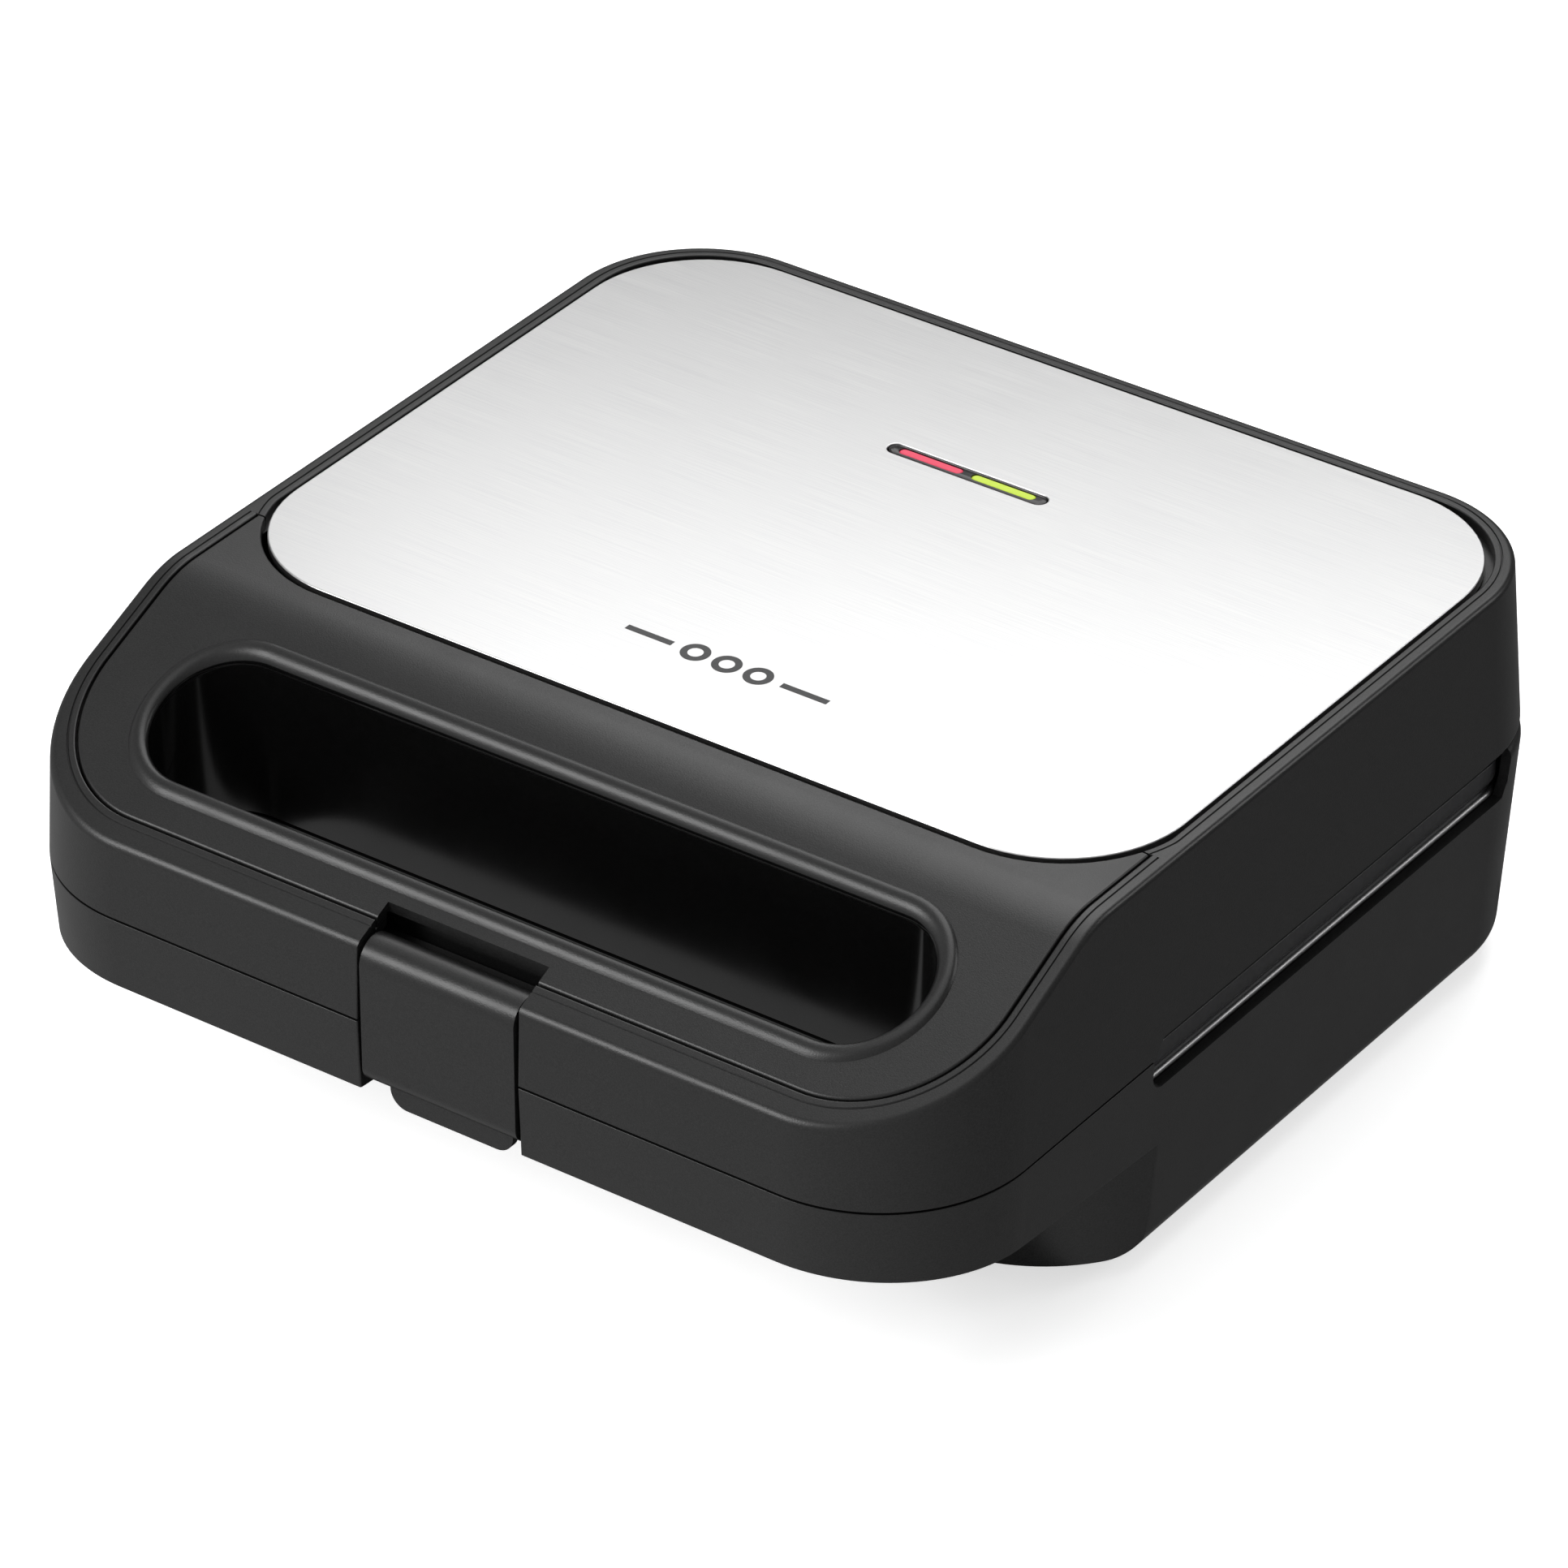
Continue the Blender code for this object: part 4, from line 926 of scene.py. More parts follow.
# ---- lid --------------------------------------------------------------------------------------------
@dataclass
class LidShell:
    """The moulded lid: wall, rounded rim, ledge for the panel and cover, recess and hinge knuckles."""

    finishes: FinishSet
    form: BodyForm = FORM
    rim_edge: float = 0.4
    line_depth: float = 0.3
    line_offsets: tuple[float, ...] = (1.75, 1.6, 1.45, 1.3)
    edge_land: float = 0.3
    cheek: float = 1.3
    cheek_setback: float = 1.2
    cheek_drop: float = 0.6

    def lower_edge(self, y: float) -> float:
        """Height of the lid's lower edge at y.

        Args:
            y: place from front to back.

        Returns:
            The height in millimetres.
        """
        form = self.form
        front = form.split + form.parting / 2
        middle = form.height - form.gap_top_drop
        rear = form.rear_parting(y) + form.parting / 2
        rise = (y - (form.gap_front - form.gap_slant)) / form.gap_slant
        fall = (y - form.gap_back) / form.gap_slant
        if rise < 1:
            t = max(0.0, rise)
            return front + (middle - front) * t * t * (3 - 2 * t)
        t = min(max(fall, 0.0), 1.0)
        return middle + (rear - middle) * t * t * (3 - 2 * t)

    def build(self) -> bpy.types.Object:
        """Makes the shell.

        Returns:
            The finished piece.
        """
        form = self.form
        inner = tuple(value + form.ledge for value in form.rim)
        rings = [form.ring(form.wall, self.lower_edge), form.ring(form.wall - self.edge_land, self.lower_edge)]
        rings += [self.edge_ring(turn, rise) for turn, rise in reversed(list(quarter(1.0, 5)))]
        rings += [form.ring(inset, form.under_top(depth)) for inset, depth in quarter(form.rim_fillet, 8)]
        for offset, depth in zip(self.line_offsets, (0.0, self.line_depth, self.line_depth, 0.0)):
            inset = tuple(value - offset for value in form.rim)
            rings.append(form.to_panel(form.ring(inset, form.under_top(depth)), form.panel_gap + offset))
        for turn, depth in reversed(list(quarter(self.rim_edge, 4))):
            inset = tuple(value - turn for value in form.rim)
            rings.append(form.to_panel(form.ring(inset, form.under_top(depth)), form.panel_gap + turn))
        rings.append(form.to_panel(form.ring(form.rim, form.under_top(form.rim_depth)), form.panel_gap))
        for depth in (form.rim_depth, form.rim_depth + form.wall):
            rings.append(form.to_panel(form.ring(inner, form.under_top(depth)), form.panel_gap - form.ledge))
        rings.append(form.ring(form.wall, form.under_top(form.rim_depth + form.wall)))
        shell = loft("lid_shell", rings, self.finishes.moulded_abs, ring_of_rings=True)
        self.add_latch_seat(shell)
        self.add_knuckles(shell)
        soften(shell)
        dress(shell, Body.LID, Slot.PLASTIC, "lid_housing")
        return shell

    def edge_ring(self, turn: float, rise: float) -> list[Point3]:
        """A ring of the rounded lower edge, given as shares of its rounding.

        Args:
            turn: share of the rounding, inwards.
            rise: share of the rounding, upwards.

        Returns:
            The ring.
        """
        form = self.form
        return form.ring(lambda y: turn * form.edge_round(y),
                         lambda y: self.lower_edge(y) + rise * form.edge_round(y))

    def add_latch_seat(self, shell: bpy.types.Object) -> None:
        """Adds the cheeks beside the latch and cuts its recess.

        Args:
            shell: the lid shell.
        """
        form = self.form
        half = form.recess_width / 2 + form.wall + self.cheek
        roof = form.top(form.front) - form.rim_depth - self.cheek_drop
        join(shell, box("cheeks", (-half, form.front + self.cheek_setback, form.split + form.parting / 2),
                        (half, form.front + form.recess_lid + form.wall, roof)))
        cut(shell, form.recess(form.recess_lid, flare=form.recess_flare))

    def add_knuckles(self, shell: bpy.types.Object) -> None:
        """Adds the lid's hinge knuckles.

        Args:
            shell: the lid shell.
        """
        form = self.form
        y, z = form.hinge
        for side in (-1, 1):
            x = side * form.hinge_centre
            join(shell, side_prism("knuckle", form.knuckle_outline(True),
                                   x - form.knuckle / 2, x + form.knuckle / 2))
            cut(shell, rod("bore", (x - form.knuckle, y, z), (x + form.knuckle, y, z),
                           form.hinge_pin + form.pin_play))


@dataclass
class HandleCover:
    """The sloping handle insert, with the grip opening's rolled lip and its tube."""

    finishes: FinishSet
    form: BodyForm = FORM
    edge: float = 0.45
    bead: float = 2.1
    bead_offset: float = 1.8
    bead_sunk: float = 1.0

    def build(self) -> bpy.types.Object:
        """Makes the cover.

        Returns:
            The finished piece.
        """
        form = self.form
        inset = tuple(value + form.cover_gap for value in form.rim)
        rear = form.panel_front + form.horn - form.cover_gap
        block = [(-form.half, form.front), (form.half, form.front), (form.half, rear), (-form.half, rear)]
        cover = prism("handle_cover_insert", block, form.split + 1, form.height + 5, self.finishes.moulded_abs)
        depth = form.rim_depth - form.gap
        keep(cover, side_prism("skin", form.slope_profile(form.front - 5, rear, 0, form.under_top(depth)),
                               -form.half - 5, form.half + 5))
        rings = [form.ring(inset, form.split)]
        for turn, rise in quarter(self.edge, 4):
            rings.append(form.ring(tuple(value + turn for value in inset), form.under_top(rise)))
        rings.append([(x, y, form.height + 10) for x, y, _ in rings[-1]])
        keep(cover, loft("inside_the_rim", rings))
        self.cut_panel_space(cover)
        tube = prism("tube", stadium(form.grip_half, form.grip_y, form.grip_radius + form.tube_wall),
                     form.split + form.parting / 2 + form.gap, FAR)
        keep(tube, side_prism("under", form.slope_profile(form.front, form.bend_y, -0.6, lambda y: 0.0),
                              -form.half, form.half))
        join(cover, tube)
        self.cut_grip(cover)
        cut(cover, form.recess(form.recess_lid, flare=0.0))
        polish_and_shade_throat(cover, self.finishes.polished_shaded_abs)
        soften(cover, sharp=40.0)
        dress(cover, Body.LID, Slot.PLASTIC, "handle_cover")
        return cover

    def cut_panel_space(self, cover: bpy.types.Object) -> None:
        """Cuts the cover back round the steel panel, rounding the edge.

        Args:
            cover: the handle cover.
        """
        form = self.form
        level = form.height - form.rim_drop
        rings = [[(x, y, -FAR) for x, y in form.panel_outline(form.panel_gap)]]
        for turn, rise in quarter(self.edge, 4):
            rings.append([(x, y, level - rise) for x, y in form.panel_outline(form.panel_gap + turn)])
        rings.append([(x, y, FAR) for x, y in form.panel_outline(form.panel_gap + self.edge)])
        cut(cover, loft("panel_space", rings))

    def cut_grip(self, cover: bpy.types.Object) -> None:
        """Cuts the grip opening and rolls a bead round it.

        Args:
            cover: the handle cover.
        """
        form = self.form
        cut(cover, prism("grip", stadium(form.grip_half, form.grip_y, form.grip_radius), -FAR, FAR))
        rings = []
        for turn in range(0, 360, 15):
            radius = form.grip_radius + self.bead_offset + self.bead * cos(radians(turn))
            lift = self.bead * sin(radians(turn)) - self.bead_sunk
            rings.append([(x, y, form.top(y) + lift) for x, y in stadium(form.grip_half, form.grip_y, radius)])
        join(cover, loft("bead", rings, ring_of_rings=True))


@dataclass
class TopPanel:
    """The brushed panel, its lens bar with two lamps, and a plain printed motif."""

    finishes: FinishSet
    form: BodyForm = FORM
    sheet: float = 0.7
    skirt: float = 1.8
    edge: float = 0.3
    lens_length: float = 38.0
    lens_width: float = 3.6
    lens_offset: float = 32.4
    window_length: float = 13.0
    window_width: float = 2.2
    window_offset: float = 8.8
    slot_gap: float = 0.2
    slot_edge: float = 0.25
    lens_crown: tuple[Point2, ...] = ((0.0, 0.5), (0.15, 0.2), (0.5, 0.05), (1.0, 0.0))
    lens_foot: float = 0.9
    window_gap: float = 0.1
    lamp_span: Point2 = (1.6, 16.6)
    lamp_radius: float = 1.5
    lamp_drop: float = 1.6
    guide_foot: float = 1.0
    guide_top: tuple[Point2, ...] = ((0.0, 0.3), (0.3, 0.1))
    motif_offset: float = -54.0
    motif_x: float = 2.8
    motif_lift: float = 0.05
    motif_sunk: float = 0.02
    bar_span: Point2 = (13.0, 24.0)
    bar_half: float = 0.8
    ring_pitch: float = 7.5
    ring_radii: Point2 = (1.6, 3.1)

    def lens_outline(self, grow: float) -> list[Point2]:
        """The lens bar's outline."""
        return stadium((self.lens_length - self.lens_width) / 2, self.form.panel_y + self.lens_offset,
                       self.lens_width / 2 + grow, 16)

    def build(self) -> list[bpy.types.Object]:
        """Makes the panel, lens, lamps and motif.

        Returns:
            The finished pieces.
        """
        form = self.form
        levels = [(0.0, form.height - self.skirt)]
        levels += [(turn, form.height - rise) for turn, rise in quarter(self.edge, 6)]
        panel = loft("brushed_panel", [[(x, y, z) for x, y in form.panel_outline(-inset)] for inset, z in levels],
                     self.finishes.brushed_stainless)
        cut(panel, prism("inside", form.panel_outline(-self.sheet), -FAR, form.height - self.sheet))
        rings = [[(x, y, -FAR) for x, y in self.lens_outline(self.slot_gap)]]
        rings += [[(x, y, form.height - rise) for x, y in self.lens_outline(self.slot_gap + turn)]
                  for turn, rise in quarter(self.slot_edge, 3)]
        rings.append([(x, y, FAR) for x, y in self.lens_outline(self.slot_gap + self.slot_edge)])
        cut(panel, loft("slot", rings))
        soften(panel)
        dress(panel, Body.LID, Slot.STEEL, "steel_panel")
        base = form.height - self.sheet - form.gap
        levels = [(0.0, base - self.lens_foot)] + [(inset, form.height - drop) for inset, drop in self.lens_crown]
        lens = loft("lens_bar", [[(x, y, z) for x, y in self.lens_outline(-inset)] for inset, z in levels],
                    self.finishes.smoked_acrylic)
        for side in (-1, 1):
            cut(lens, prism("window", self.window_outline(side, self.window_gap), -FAR, FAR))
        soften(lens)
        dress(lens, Body.LID, Slot.LENS, "indicator_lens")
        return [panel, lens] + self.lamps(base - self.lens_foot - form.gap) + [self.motif()]

    def window_outline(self, side: int, grow: float) -> list[Point2]:
        """One of the lens bar's two windows.

        Args:
            side: -1 for the left window, 1 for the right.
            grow: how much wider on each side.

        Returns:
            The outline.
        """
        outline = stadium(self.window_length / 2, self.form.panel_y + self.lens_offset,
                          self.window_width / 2 + grow, 10)
        return [(x + side * self.window_offset, y) for x, y in outline]

    def lamps(self, level: float) -> list[bpy.types.Object]:
        """The two lamps end to end, each with a light guide up to its window.

        Args:
            level: top of the lamp bodies.

        Returns:
            The two lamps.
        """
        made = []
        y = self.form.panel_y + self.lens_offset
        colours = (("power_light", -1, self.finishes.red_acrylic, Slot.RED, "power_lamp"),
                   ("ready_light", 1, self.finishes.green_acrylic, Slot.GREEN, "ready_lamp"))
        near, far = self.lamp_span
        centre = level - self.lamp_drop
        steps = [(0.0, level - self.guide_foot)]
        steps += [(inset, self.form.height - drop) for inset, drop in self.guide_top]
        for name, side, finish, slot, node in colours:
            lamp = rod(name, (side * near, y, centre), (side * far, y, centre), self.lamp_radius, finish, 32, 0.2)
            join(lamp, loft("guide", [[(x, v, z) for x, v in self.window_outline(side, -inset)]
                                      for inset, z in steps]))
            soften(lamp)
            dress(lamp, Body.LID, slot, node)
            made.append(lamp)
        return made

    def motif(self) -> bpy.types.Object:
        """A bar, three small rings and a bar, printed on the panel.

        Returns:
            The finished piece.
        """
        form = self.form
        x, y = self.motif_x, form.panel_y + self.motif_offset
        low = form.height - self.motif_sunk
        high = low + self.motif_lift
        front, back = y - self.bar_half, y + self.bar_half
        near, far = self.bar_span
        inner, outer = self.ring_radii
        motif = box("printed_motif", (x - far, front, low), (x - near, back, high), self.finishes.printed_ink)
        join(motif, box("bar", (x + near, front, low), (x + far, back, high)))
        profile = [(inner, low), (outer, low), (outer, high), (inner, high)]
        for place in (-1, 0, 1):
            join(motif, lathe("ring", profile, (x + place * self.ring_pitch, y, 0), steps=40))
        dress(motif, Body.LID, Slot.PLASTIC)
        return motif


@dataclass
class LatchLever:
    """The latch: barrel at the pin, face plate, recessed finger tab."""

    finishes: FinishSet
    form: BodyForm = FORM
    side_gap: float = 0.8
    thick: float = 3.0
    length: float = 27.0
    tab_length: float = 32.5
    tab_setback: float = 3.9
    tab_narrower: float = 3.6
    tab_thick: float = 1.8
    tab_overlap: float = 1.2
    corner: float = 4.0
    hook: float = 2.7
    hook_rise: float = 6.0
    edge: float = 0.45

    def build(self) -> bpy.types.Object:
        """Makes the lever.

        Returns:
            The finished piece.
        """
        form = self.form
        y, z = form.latch
        half = form.recess_width / 2 - self.side_gap
        face = y - form.latch_barrel
        back = face + self.thick
        low = z - self.length
        hook_z = low + self.hook_rise
        barrel = arc((y, z), form.latch_barrel, -40, 180, 36)
        corner = self.corner
        foot = arc((face + corner, low + corner), corner, 180, 250, 8)
        heel, toe = back + self.hook - 0.1, back + self.hook
        hook = [(heel, low), (heel, low + 1.6), (back, low + 3.2), (back, hook_z), (toe, hook_z + 1.4),
                (toe, hook_z + 2.6), (back, hook_z + 3.4)]
        lever = side_prism("latch_lever", barrel + foot + hook + [(back, z - form.latch_barrel + 0.4)],
                           -half, half, self.finishes.moulded_abs)
        tab_half, bottom = half - self.tab_narrower, z - self.tab_length
        side = arc((tab_half - corner, bottom + corner), corner, 0, -90, 10)
        side += arc((-tab_half + corner, bottom + corner), corner, -90, -180, 10)
        top = low + self.tab_overlap
        outline = [(tab_half, top)] + side + [(-tab_half, top)]
        tab_face = face + self.tab_setback
        join(lever, loft("tab", [[(x, depth, height) for x, height in outline]
                                 for depth in (tab_face, tab_face + self.tab_thick)]))
        soften(lever, self.edge, 3, 40)
        dress(lever, Body.LATCH, Slot.PLASTIC, "latch")
        return lever


# ---- baking plates ----------------------------------------------------------------------------------
@dataclass
class BakingPlate:
    """A cast plate with six ring cavities and, on the lower one, a bare machined lip."""

    finishes: FinishSet
    upper: bool
    form: BodyForm = FORM
    width: float = 218.6
    corner: float = 8.0
    face_drop: float = 47.2
    slab: float = 2.6
    split: float = 0.8
    skirt: float = 4.5
    major: float = 19.0
    minor: float = 10.0
    wall: float = 2.2
    pitch: Point2 = (66.0, 62.0)
    edge: float = 0.7
    skirt_edge: float = 0.2
    lip_reach: float = 1.1
    lip_drop: float = 1.15
    lip_round: float = 0.9
    skirt_wall: float = 2.5
    cup_overlap: float = 0.9
    mouth_round: float = 0.6
    mouth_lift: float = 3.0

    @property
    def sign(self) -> int:
        """+1 for the lid's plate, -1 for the base's."""
        return 1 if self.upper else -1

    @property
    def front(self) -> float:
        """Y of the plate's front edge."""
        return self.form.front + self.form.plate_setback

    def outline(self, inset: float) -> list[Point2]:
        """The plate's outline moved in."""
        return rounded_rect(self.width / 2 - inset, self.front + inset, self.front + self.form.plate_depth - inset,
                            self.corner - inset, 12)

    def cavities(self) -> Iterator[Point2]:
        """Centres of the six rings.

        Returns:
            Each centre in plan.
        """
        y = self.front + self.form.plate_depth / 2
        for row in (-0.5, 0.5):
            for column in (-1, 0, 1):
                yield column * self.pitch[0], y + row * self.pitch[1]

    def half_ring(self, centre: Point2, face: float, minor: float, lift: float, flare: float,
                  steps: int) -> bpy.types.Object:
        """A ring that bulges away from the face, its mouth flared to round the edge.

        Args:
            centre: its axis in plan.
            face: height of the plate's face.
            minor: radius of the ring's section.
            lift: how far it runs past the face.
            flare: rounding of its mouth.
            steps: facets round it.

        Returns:
            The ring.
        """
        sign = self.sign
        body = [(self.major + minor * cos(radians(a)), sign * minor * sin(radians(a))) for a in range(10, 171, 10)]
        mouth = [(minor + turn, rise) for turn, rise in quarter(flare, 4)] if flare else [(minor, 0.0)]
        right = [(self.major + r, sign * z) for r, z in reversed(mouth)]
        left = [(self.major - r, sign * z) for r, z in mouth]
        ends = [(self.major - minor - flare, -sign * lift), (self.major + minor + flare, -sign * lift)]
        return lathe("ring", right + body + left + ends, (centre[0], centre[1], face), steps=steps)

    def build(self) -> bpy.types.Object:
        """Makes the plate.

        Returns:
            The finished piece.
        """
        form, sign = self.form, self.sign
        face = form.height - self.face_drop + sign * self.split / 2
        depth = self.skirt if self.upper else self.slab
        inset = 0.0 if self.upper else self.lip_reach
        steps = [(inset + turn, rise) for turn, rise in reversed(list(quarter(self.edge, 4)))]
        if not self.upper:
            steps.append((inset, self.lip_drop))
            steps += [(turn, self.lip_drop + rise) for turn, rise in reversed(list(quarter(self.lip_round, 6)))]
        steps += [(turn, depth - rise) for turn, rise in quarter(self.skirt_edge if self.upper else self.edge, 4)]
        rings = [(moved, face + sign * rise) for moved, rise in steps]
        plate = loft("upper_baking_plate" if self.upper else "lower_baking_plate",
                     [[(x, y, z) for x, y in self.outline(inset)] for inset, z in rings],
                     self.finishes.nonstick_coating)
        if self.upper:
            cut(plate, prism("tray", self.outline(self.skirt_wall), face + sign * self.slab, face + sign * 20))
        overlap, mouth = self.cup_overlap, self.mouth_round
        for centre in self.cavities():
            join(plate, self.half_ring(centre, face + sign * overlap, self.minor + self.wall - overlap, 0.0, 0.0, 48))
        for centre in self.cavities():
            cut(plate, self.half_ring(centre, face, self.minor - mouth, self.mouth_lift, mouth, 72))
        if not self.upper:
            self.bare_the_lip(plate, face)
        soften(plate)
        body, node = (Body.LID, "upper_plate") if self.upper else (Body.BASE, "lower_plate")
        dress(plate, body, Slot.COATED, node)
        return plate

    def bare_the_lip(self, plate: bpy.types.Object, face: float) -> None:
        """Leaves the lower half of the plate's outer edge uncoated.

        Args:
            plate: the lower plate.
            face: height of its face.
        """
        mesh = plate.data
        mesh.materials.append(self.finishes.bare_aluminium)
        inside = self.width / 2 - 3
        for piece in mesh.polygons:
            middle = piece.center / MM
            outer = abs(middle.x) > inside or not self.front + 3 < middle.y < self.front + self.form.plate_depth - 3
            if outer and middle.z < face - self.lip_drop + 0.01:
                piece.material_index = 1


# ---- base -------------------------------------------------------------------------------------------
@dataclass
class BaseShell:
    """The moulded base: lower handle half, tub, hinge ears, vents and foot holes."""

    finishes: FinishSet
    form: BodyForm = FORM
    floor: float = 2.5
    foot_fillet: float = 4.0
    handle_drop: float = 57.8
    under_slope: float = 0.075
    tub_setback: float = 54.3
    tub_corner: float = 38.0
    edge: float = 0.15
    vents: int = 7
    vent_size: Point2 = (4.0, 46.0)
    vent_pitch: float = 10.0
    bush_height: float = 22.0
    bush_hole: float = 5.8
    stud_hole: float = 3.3
    foot_inset: float = 24.0
    foot_setbacks: Point2 = (26.0, 26.0)
    ledge_drop: Point2 = (4.8, 2.3)
    ledge_setback: float = 6.1
    ledge_inset: float = 4.0
    gap_corner: float = 3.8
    corner_play: float = 0.1
    corner_root: float = 0.9

    def skin(self, name: str, inset: float, floor: float, roof: float, top_edge: float) -> bpy.types.Object:
        """The base's full outline with rounded bottom and top edges.

        Args:
            name: the piece.
            inset: how far in from the outside.
            floor: its lowest level.
            roof: its highest level.
            top_edge: rounding of the top edge, or 0.

        Returns:
            The closed skin.
        """
        form = self.form
        radius = self.foot_fillet
        rings = []
        for turn, rise in reversed(list(quarter(radius, 8))):
            rings.append(form.ring(inset + turn, floor + rise))
        rings += [form.ring(inset, form.split - 6)]
        if top_edge:
            rings += [form.ring(inset + turn, roof - rise) for turn, rise in quarter(top_edge, 4)]
        else:
            rings += [form.ring(inset, form.split)]
            rings.append([(x, y, roof) for x, y, _ in rings[-1]])
        return loft(name, rings)

    def hollow(self, grow: float) -> bpy.types.Object:
        """The space under the handle, in front of the tub, grown into the wall.

        Args:
            grow: how far it reaches into the wall.

        Returns:
            The cutter.
        """
        form = self.form
        rings = []
        front = form.front + self.tub_setback
        for z in (-20.0, form.split - 4):
            lean = form.lean_base[1] * (form.split - z) / (form.split - form.foot)
            edge = front + lean + grow
            wide, reach, radius = form.half + 6, form.half + 0.9 - grow, self.tub_corner - grow
            right = arc((reach - radius, edge + radius), radius, -90, 0, 30)
            tub = [(wide, right[-1][1] + 2)] + list(reversed(right))
            tub += [(-x, y) for x, y in reversed(tub)]
            rings.append([(x, y, z) for x, y in [(-wide, form.front - 20), (wide, form.front - 20)] + tub])
        space = loft("hollow", rings)
        high = form.height - self.handle_drop + grow
        fall = self.under_slope
        outline = [(form.front - 30, high + 30 * fall), (form.front - 30, -30), (form.front + 100, -30),
                   (form.front + 100, high - 100 * fall)]
        keep(space, side_prism("underside", outline, -form.half - 10, form.half + 10))
        return space

    def feet(self) -> Iterator[Point2]:
        """Centres of the four feet.

        Returns:
            Each centre in plan.
        """
        form = self.form
        reach = form.half - self.foot_inset
        front, back = self.foot_setbacks
        for x in (-reach, reach):
            for y in (form.front + self.tub_setback + front, form.back - back):
                yield x, y

    def build(self) -> bpy.types.Object:
        """Makes the base.

        Returns:
            The finished piece.
        """
        form = self.form
        base = self.skin("base_shell", 0.0, form.foot, form.split - form.parting / 2, self.edge)
        base.data.materials.append(self.finishes.moulded_abs)
        cut(base, self.hollow(0.0))
        cavity = self.skin("cavity", form.wall, form.foot + self.floor, form.split + 5, 0.0)
        cut(cavity, self.hollow(form.wall))
        tube = stadium(form.grip_half, form.grip_y, form.grip_radius + form.tube_wall)
        cut(cavity, prism("tube", tube, -FAR, FAR))
        cut(cavity, form.recess(self.form.recess_base, form.wall))
        cut(base, cavity)
        self.lower_the_edge(base)
        cut(base, prism("grip", stadium(form.grip_half, form.grip_y, form.grip_radius), -FAR, FAR))
        cut(base, form.recess(form.recess_base, flare=form.recess_flare))
        low, high = (form.split - drop for drop in self.ledge_drop)
        reach = form.recess_width / 2 - self.ledge_inset
        join(base, box("ledge", (-reach, form.front + self.ledge_setback, low),
                       (reach, form.front + form.recess_base + form.wall / 2, high)))
        self.pierce_floor(base)
        self.add_ears(base)
        polish_and_shade_throat(base, self.finishes.polished_shaded_abs)
        soften(base)
        dress(base, Body.BASE, Slot.PLASTIC, "lower_housing")
        return base

    def add_ears(self, base: bpy.types.Object) -> None:
        """Adds the hinge ears, two beside each of the lid's knuckles.

        Args:
            base: the base.
        """
        form = self.form
        y, z = form.hinge
        for side in (-1, 1):
            for offset in (-1, 1):
                x = side * form.hinge_centre + offset * (form.knuckle / 2 + form.gap + form.ear / 2)
                join(base, side_prism("ear", form.knuckle_outline(False), x - form.ear / 2, x + form.ear / 2))
            x = side * form.hinge_centre
            cut(base, rod("bore", (x - 20, y, z), (x + 20, y, z), form.hinge_pin + form.pin_play))

    def lower_the_edge(self, base: bpy.types.Object) -> None:
        """Lowers the base's edge beside the plates and at the back.

        Args:
            base: the base.
        """
        form = self.form
        low = form.height - form.gap_bottom_drop
        rear = form.rear_split - form.parting / 2
        start = form.gap_front - form.gap_slant
        outline = [(start, form.split + 30), (start, form.split - 3.5)]
        corner = self.gap_corner
        outline += arc((start + corner, low + corner), corner, 180, 270, 8)
        outline += [(form.gap_back + 1, low), (form.gap_back + form.gap_slant, rear), (form.back + 30, rear),
                    (form.back + 30, form.split + 30)]
        cut(base, side_prism("edge", outline, -form.half - 10, form.half + 10))
        rings = [form.ring(-5.0, rear - form.rear_round)]
        rings += [form.ring(turn, rear - rise) for turn, rise in quarter(form.rear_round, 6)]
        rings += [form.ring(form.rear_round, rear + 5), form.ring(-5.0, rear + 5)]
        rounding = loft("rounding", rings, ring_of_rings=True)
        keep(rounding, box("rear", (-FAR, form.gap_back + form.gap_slant - 0.5, 0), (FAR, FAR, FAR)))
        cut(base, rounding)
        self.raise_the_corners(base, rear)

    def raise_the_corners(self, base: bpy.types.Object, rear: float) -> None:
        """Carries the wall up round the rear corners.

        Args:
            base: the base, its rear edge already lowered and rounded.
            rear: height of that edge.
        """
        form = self.form
        start = rear - form.rear_round
        inner = form.wall - self.corner_play
        root = start - self.corner_root

        def level(drop: float) -> Height:
            """A height function a given drop below the base's side of the parting."""
            return lambda y: form.rear_parting(y) - form.parting / 2 - drop

        shoulder = level(form.rear_round)
        rings = [form.ring(inner, root), form.ring(0.5, root), form.ring(0.0, start + 0.02)]
        rings += [form.ring(0.0, lambda y: min(form.split, shoulder(y)))]
        rings += [form.ring(turn, level(rise)) for turn, rise in quarter(form.rear_round, 6)]
        rings += [form.ring(inner, level(0.0))]
        corner = loft("corners", rings, ring_of_rings=True)
        front, back = form.gap_back + 2.0, form.back - form.step_setback - 0.6
        keep(corner, side_prism("reach", [(front, 40.0), (back, 40.0), (back, 56.0), (front + 2.6, 56.0)],
                                -form.half - 10, form.half + 10))
        join(base, corner)

    def pierce_floor(self, base: bpy.types.Object) -> None:
        """Cuts the foot holes, the vents and the hole for the supply lead.

        Args:
            base: the base.
        """
        form = self.form
        for x, y in self.feet():
            cut(base, rod("foot_hole", (x, y, -5), (x, y, 15), self.stud_hole))
        width, length = self.vent_size
        middle = form.front + form.plate_setback + form.plate_depth / 2
        for number in range(self.vents):
            x = (number - (self.vents - 1) / 2) * self.vent_pitch
            outline = [(x + b, middle + a) for a, b in stadium((length - width) / 2, 0.0, width / 2, 8)]
            cut(base, prism("vent", outline, -5, 15))
        cut(base, rod("cord_hole", (0, form.back - 15, self.bush_height), (0, form.back + 15, self.bush_height),
                      self.bush_hole))


